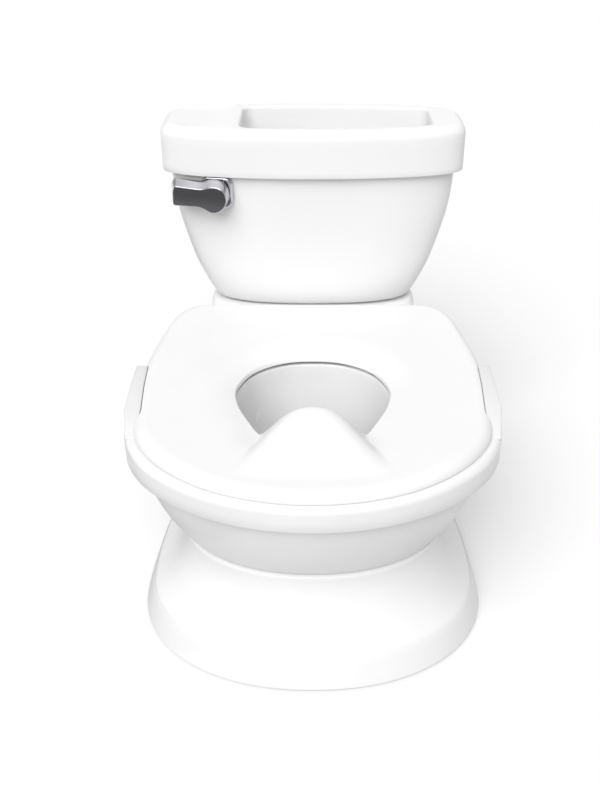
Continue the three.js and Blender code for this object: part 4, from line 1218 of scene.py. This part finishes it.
# ---------------------------------------------------------------- return spring
# A torsion spring of hard-drawn steel wire round the shaft, with a leg at each end.
def coil_tree(name):
    """Geometry Nodes: round wire wound on a helix, with a straight leg at each end."""
    tree = bpy.data.node_groups.new(name, "GeometryNodeTree")
    tree.is_modifier = True
    for label, kind in (
        ("Radius", "NodeSocketFloat"),
        ("Turns", "NodeSocketFloat"),
        ("Length", "NodeSocketFloat"),
        ("Wire", "NodeSocketFloat"),
        ("Leg", "NodeSocketFloat"),
        ("Finish", "NodeSocketMaterial"),
    ):
        tree.interface.new_socket(label, in_out="INPUT", socket_type=kind)
    tree.interface.new_socket("Spring", in_out="OUTPUT", socket_type="NodeSocketGeometry")
    given = put(tree, "NodeGroupInput").outputs
    helix = put(
        tree,
        "GeometryNodeCurveSpiral",
        {
            "Resolution": 48,
            "Rotations": given["Turns"],
            "Start Radius": given["Radius"],
            "End Radius": given["Radius"],
            "Height": given["Length"],
        },
    )
    pieces = [helix.outputs["Curve"]]
    for end in (0, 1):
        height = put(
            tree, "ShaderNodeMath", {0: given["Length"], 1: float(end)}, operation="MULTIPLY"
        )
        reach = put(
            tree, "ShaderNodeMath", {0: given["Leg"], 1: 2.0 * end - 1}, operation="MULTIPLY"
        )
        root = put(tree, "ShaderNodeCombineXYZ", {"X": given["Radius"], "Z": height.outputs[0]})
        tip = put(
            tree,
            "ShaderNodeCombineXYZ",
            {"X": given["Radius"], "Y": reach.outputs[0], "Z": height.outputs[0]},
        )
        leg = put(
            tree,
            "GeometryNodeCurvePrimitiveLine",
            {"Start": root.outputs[0], "End": tip.outputs[0]},
        )
        pieces.append(leg.outputs["Curve"])
    joined = put(tree, "GeometryNodeJoinGeometry")
    for piece in pieces:
        tree.links.new(piece, joined.inputs[0])
    section = put(
        tree, "GeometryNodeCurvePrimitiveCircle", {"Resolution": 14, "Radius": given["Wire"]}
    )
    wire = put(
        tree,
        "GeometryNodeCurveToMesh",
        {
            "Curve": joined.outputs[0],
            "Profile Curve": section.outputs["Curve"],
            "Fill Caps": True,
        },
    )
    real = put(tree, "GeometryNodeRealizeInstances", {"Geometry": wire.outputs[0]})
    coated = put(
        tree,
        "GeometryNodeSetMaterial",
        {"Geometry": real.outputs["Geometry"], "Material": given["Finish"]},
    )
    put(tree, "NodeGroupOutput", {"Spring": coated.outputs["Geometry"]})
    return tree


spring_steel = plated_steel("hard_drawn_spring_wire", "#A6A8AB", 0.3)
spring_tree = coil_tree("torsion_spring")
spring_mesh = bpy.data.meshes.new("return_spring_coil")
spring = bpy.data.objects.new("return_spring_coil", spring_mesh)
bpy.context.scene.collection.objects.link(spring)
winding = spring.modifiers.new("winding", "NODES")
winding.node_group = spring_tree
set_inputs(
    winding,
    spring_tree,
    Radius=8.2 * MM,
    Turns=3.0,
    Length=15 * MM,
    Wire=0.6 * MM,
    Leg=9 * MM,
    Finish=spring_steel,
)
SPRING_START = 17
spring = onto_pivot(settled(spring), SPRING_START, 1)
finished(spring, spring_steel, "base", "hardware_steel", "lever_return_spring")


# ---------------------------------------------------------------- room
# A white studio: a pale matt floor, an even sky, a wide soft key light at the front left, and two
# weaker ones at the front and behind. The floor sends no bounced light onto the chair.
floor_mesh = bpy.data.meshes.new("studio_floor")
floor_mesh.from_pydata([(-9, -7, 0), (9, -7, 0), (9, 14, 0), (-9, 14, 0)], [], [(0, 1, 2, 3)])
floor = bpy.data.objects.new("studio_floor", floor_mesh)
bpy.context.scene.collection.objects.link(floor)
floor_paint = bpy.data.materials.new("matt_floor_paint")
floor_paint.use_nodes = True
floor_shader = floor_paint.node_tree.nodes["Principled BSDF"]
floor_shader.inputs["Base Color"].default_value = colour("#EFEFEF")
floor_shader.inputs["Roughness"].default_value = 1.0
floor_shader.inputs["Specular IOR Level"].default_value = 0.0
floor_mesh.materials.append(floor_paint)
floor.visible_diffuse = False

surround = bpy.data.worlds.new("white_surround")
bpy.context.scene.world = surround
surround.use_nodes = True
surround.node_tree.nodes["Background"].inputs["Color"].default_value = (1, 1, 1, 1)
surround.node_tree.nodes["Background"].inputs["Strength"].default_value = 0.52

for name, azimuth, height, softness, strength in (
    ("wide_key_light", -19, 46, 48, 2.3),
    ("key_light", -4, 38, 30, 0.45),
    ("rear_light", 172, 30, 60, 0.35),
):
    lamp = bpy.data.lights.new(name, "SUN")
    lamp.energy, lamp.angle = strength, math.radians(softness)
    made = bpy.data.objects.new(name, lamp)
    bpy.context.scene.collection.objects.link(made)
    made.rotation_euler = (math.radians(90 - height), 0, math.radians(azimuth))

FLAG_FRONT = -0.72


def lying(*corners):
    """A card just above the floor."""
    return [(x, y, 0.001) for x, y in corners]


def upright(low, high):
    """A card that stands across the front left of the room, between two heights."""
    return [(x, FLAG_FRONT, z) for x, z in ((-0.9, low), (-0.2, low), (-0.2, high), (-0.9, high))]


# Five dark cards for the chrome to mirror. Only reflections see them.
for name, corners, shade in (
    ("near_flag", lying((-1.4, 0.05), (-0.14, 0.05), (-0.14, -0.175), (-1.4, -0.55)), "#AEAEB0"),
    (
        "far_flag",
        lying((-1.4, -0.55), (-0.14, -0.175), (-0.14, FLAG_FRONT), (-1.4, FLAG_FRONT)),
        "#6A6A6C",
    ),
    ("side_flag", lying((-1.4, 0.05), (-0.35, 0.05), (-0.35, 0.6), (-1.4, 0.6)), "#303032"),
    ("low_flag", upright(0.001, 0.06), "#747476"),
    ("high_flag", upright(0.06, 0.2), "#A8A8AA"),
):
    card = bpy.data.meshes.new(name)
    card.from_pydata(corners, [], [(0, 1, 2, 3)])
    cloth = bpy.data.materials.new(name + "_cloth")
    cloth.use_nodes = True
    cloth_shader = cloth.node_tree.nodes["Principled BSDF"]
    cloth_shader.inputs["Base Color"].default_value = colour(shade)
    cloth_shader.inputs["Roughness"].default_value = 0.9
    card.materials.append(cloth)
    flag = bpy.data.objects.new(name, card)
    bpy.context.scene.collection.objects.link(flag)
    flag.visible_camera = flag.visible_diffuse = flag.visible_shadow = False

VIEW_DOWN = 31.41  # degrees that the camera looks down
lens = bpy.data.cameras.new("camera")
lens.sensor_fit, lens.sensor_height, lens.lens = "VERTICAL", 36, 42.8
lens.shift_x = -0.0162
camera = bpy.data.objects.new("camera", lens)
bpy.context.scene.collection.objects.link(camera)
camera.location = (0, -0.8015, 0.655)
camera.rotation_euler = (math.radians(90 - VIEW_DOWN), 0, 0)
bpy.context.scene.camera = camera
bpy.context.scene.view_settings.view_transform = "Standard"
bpy.context.scene.view_settings.look = "None"
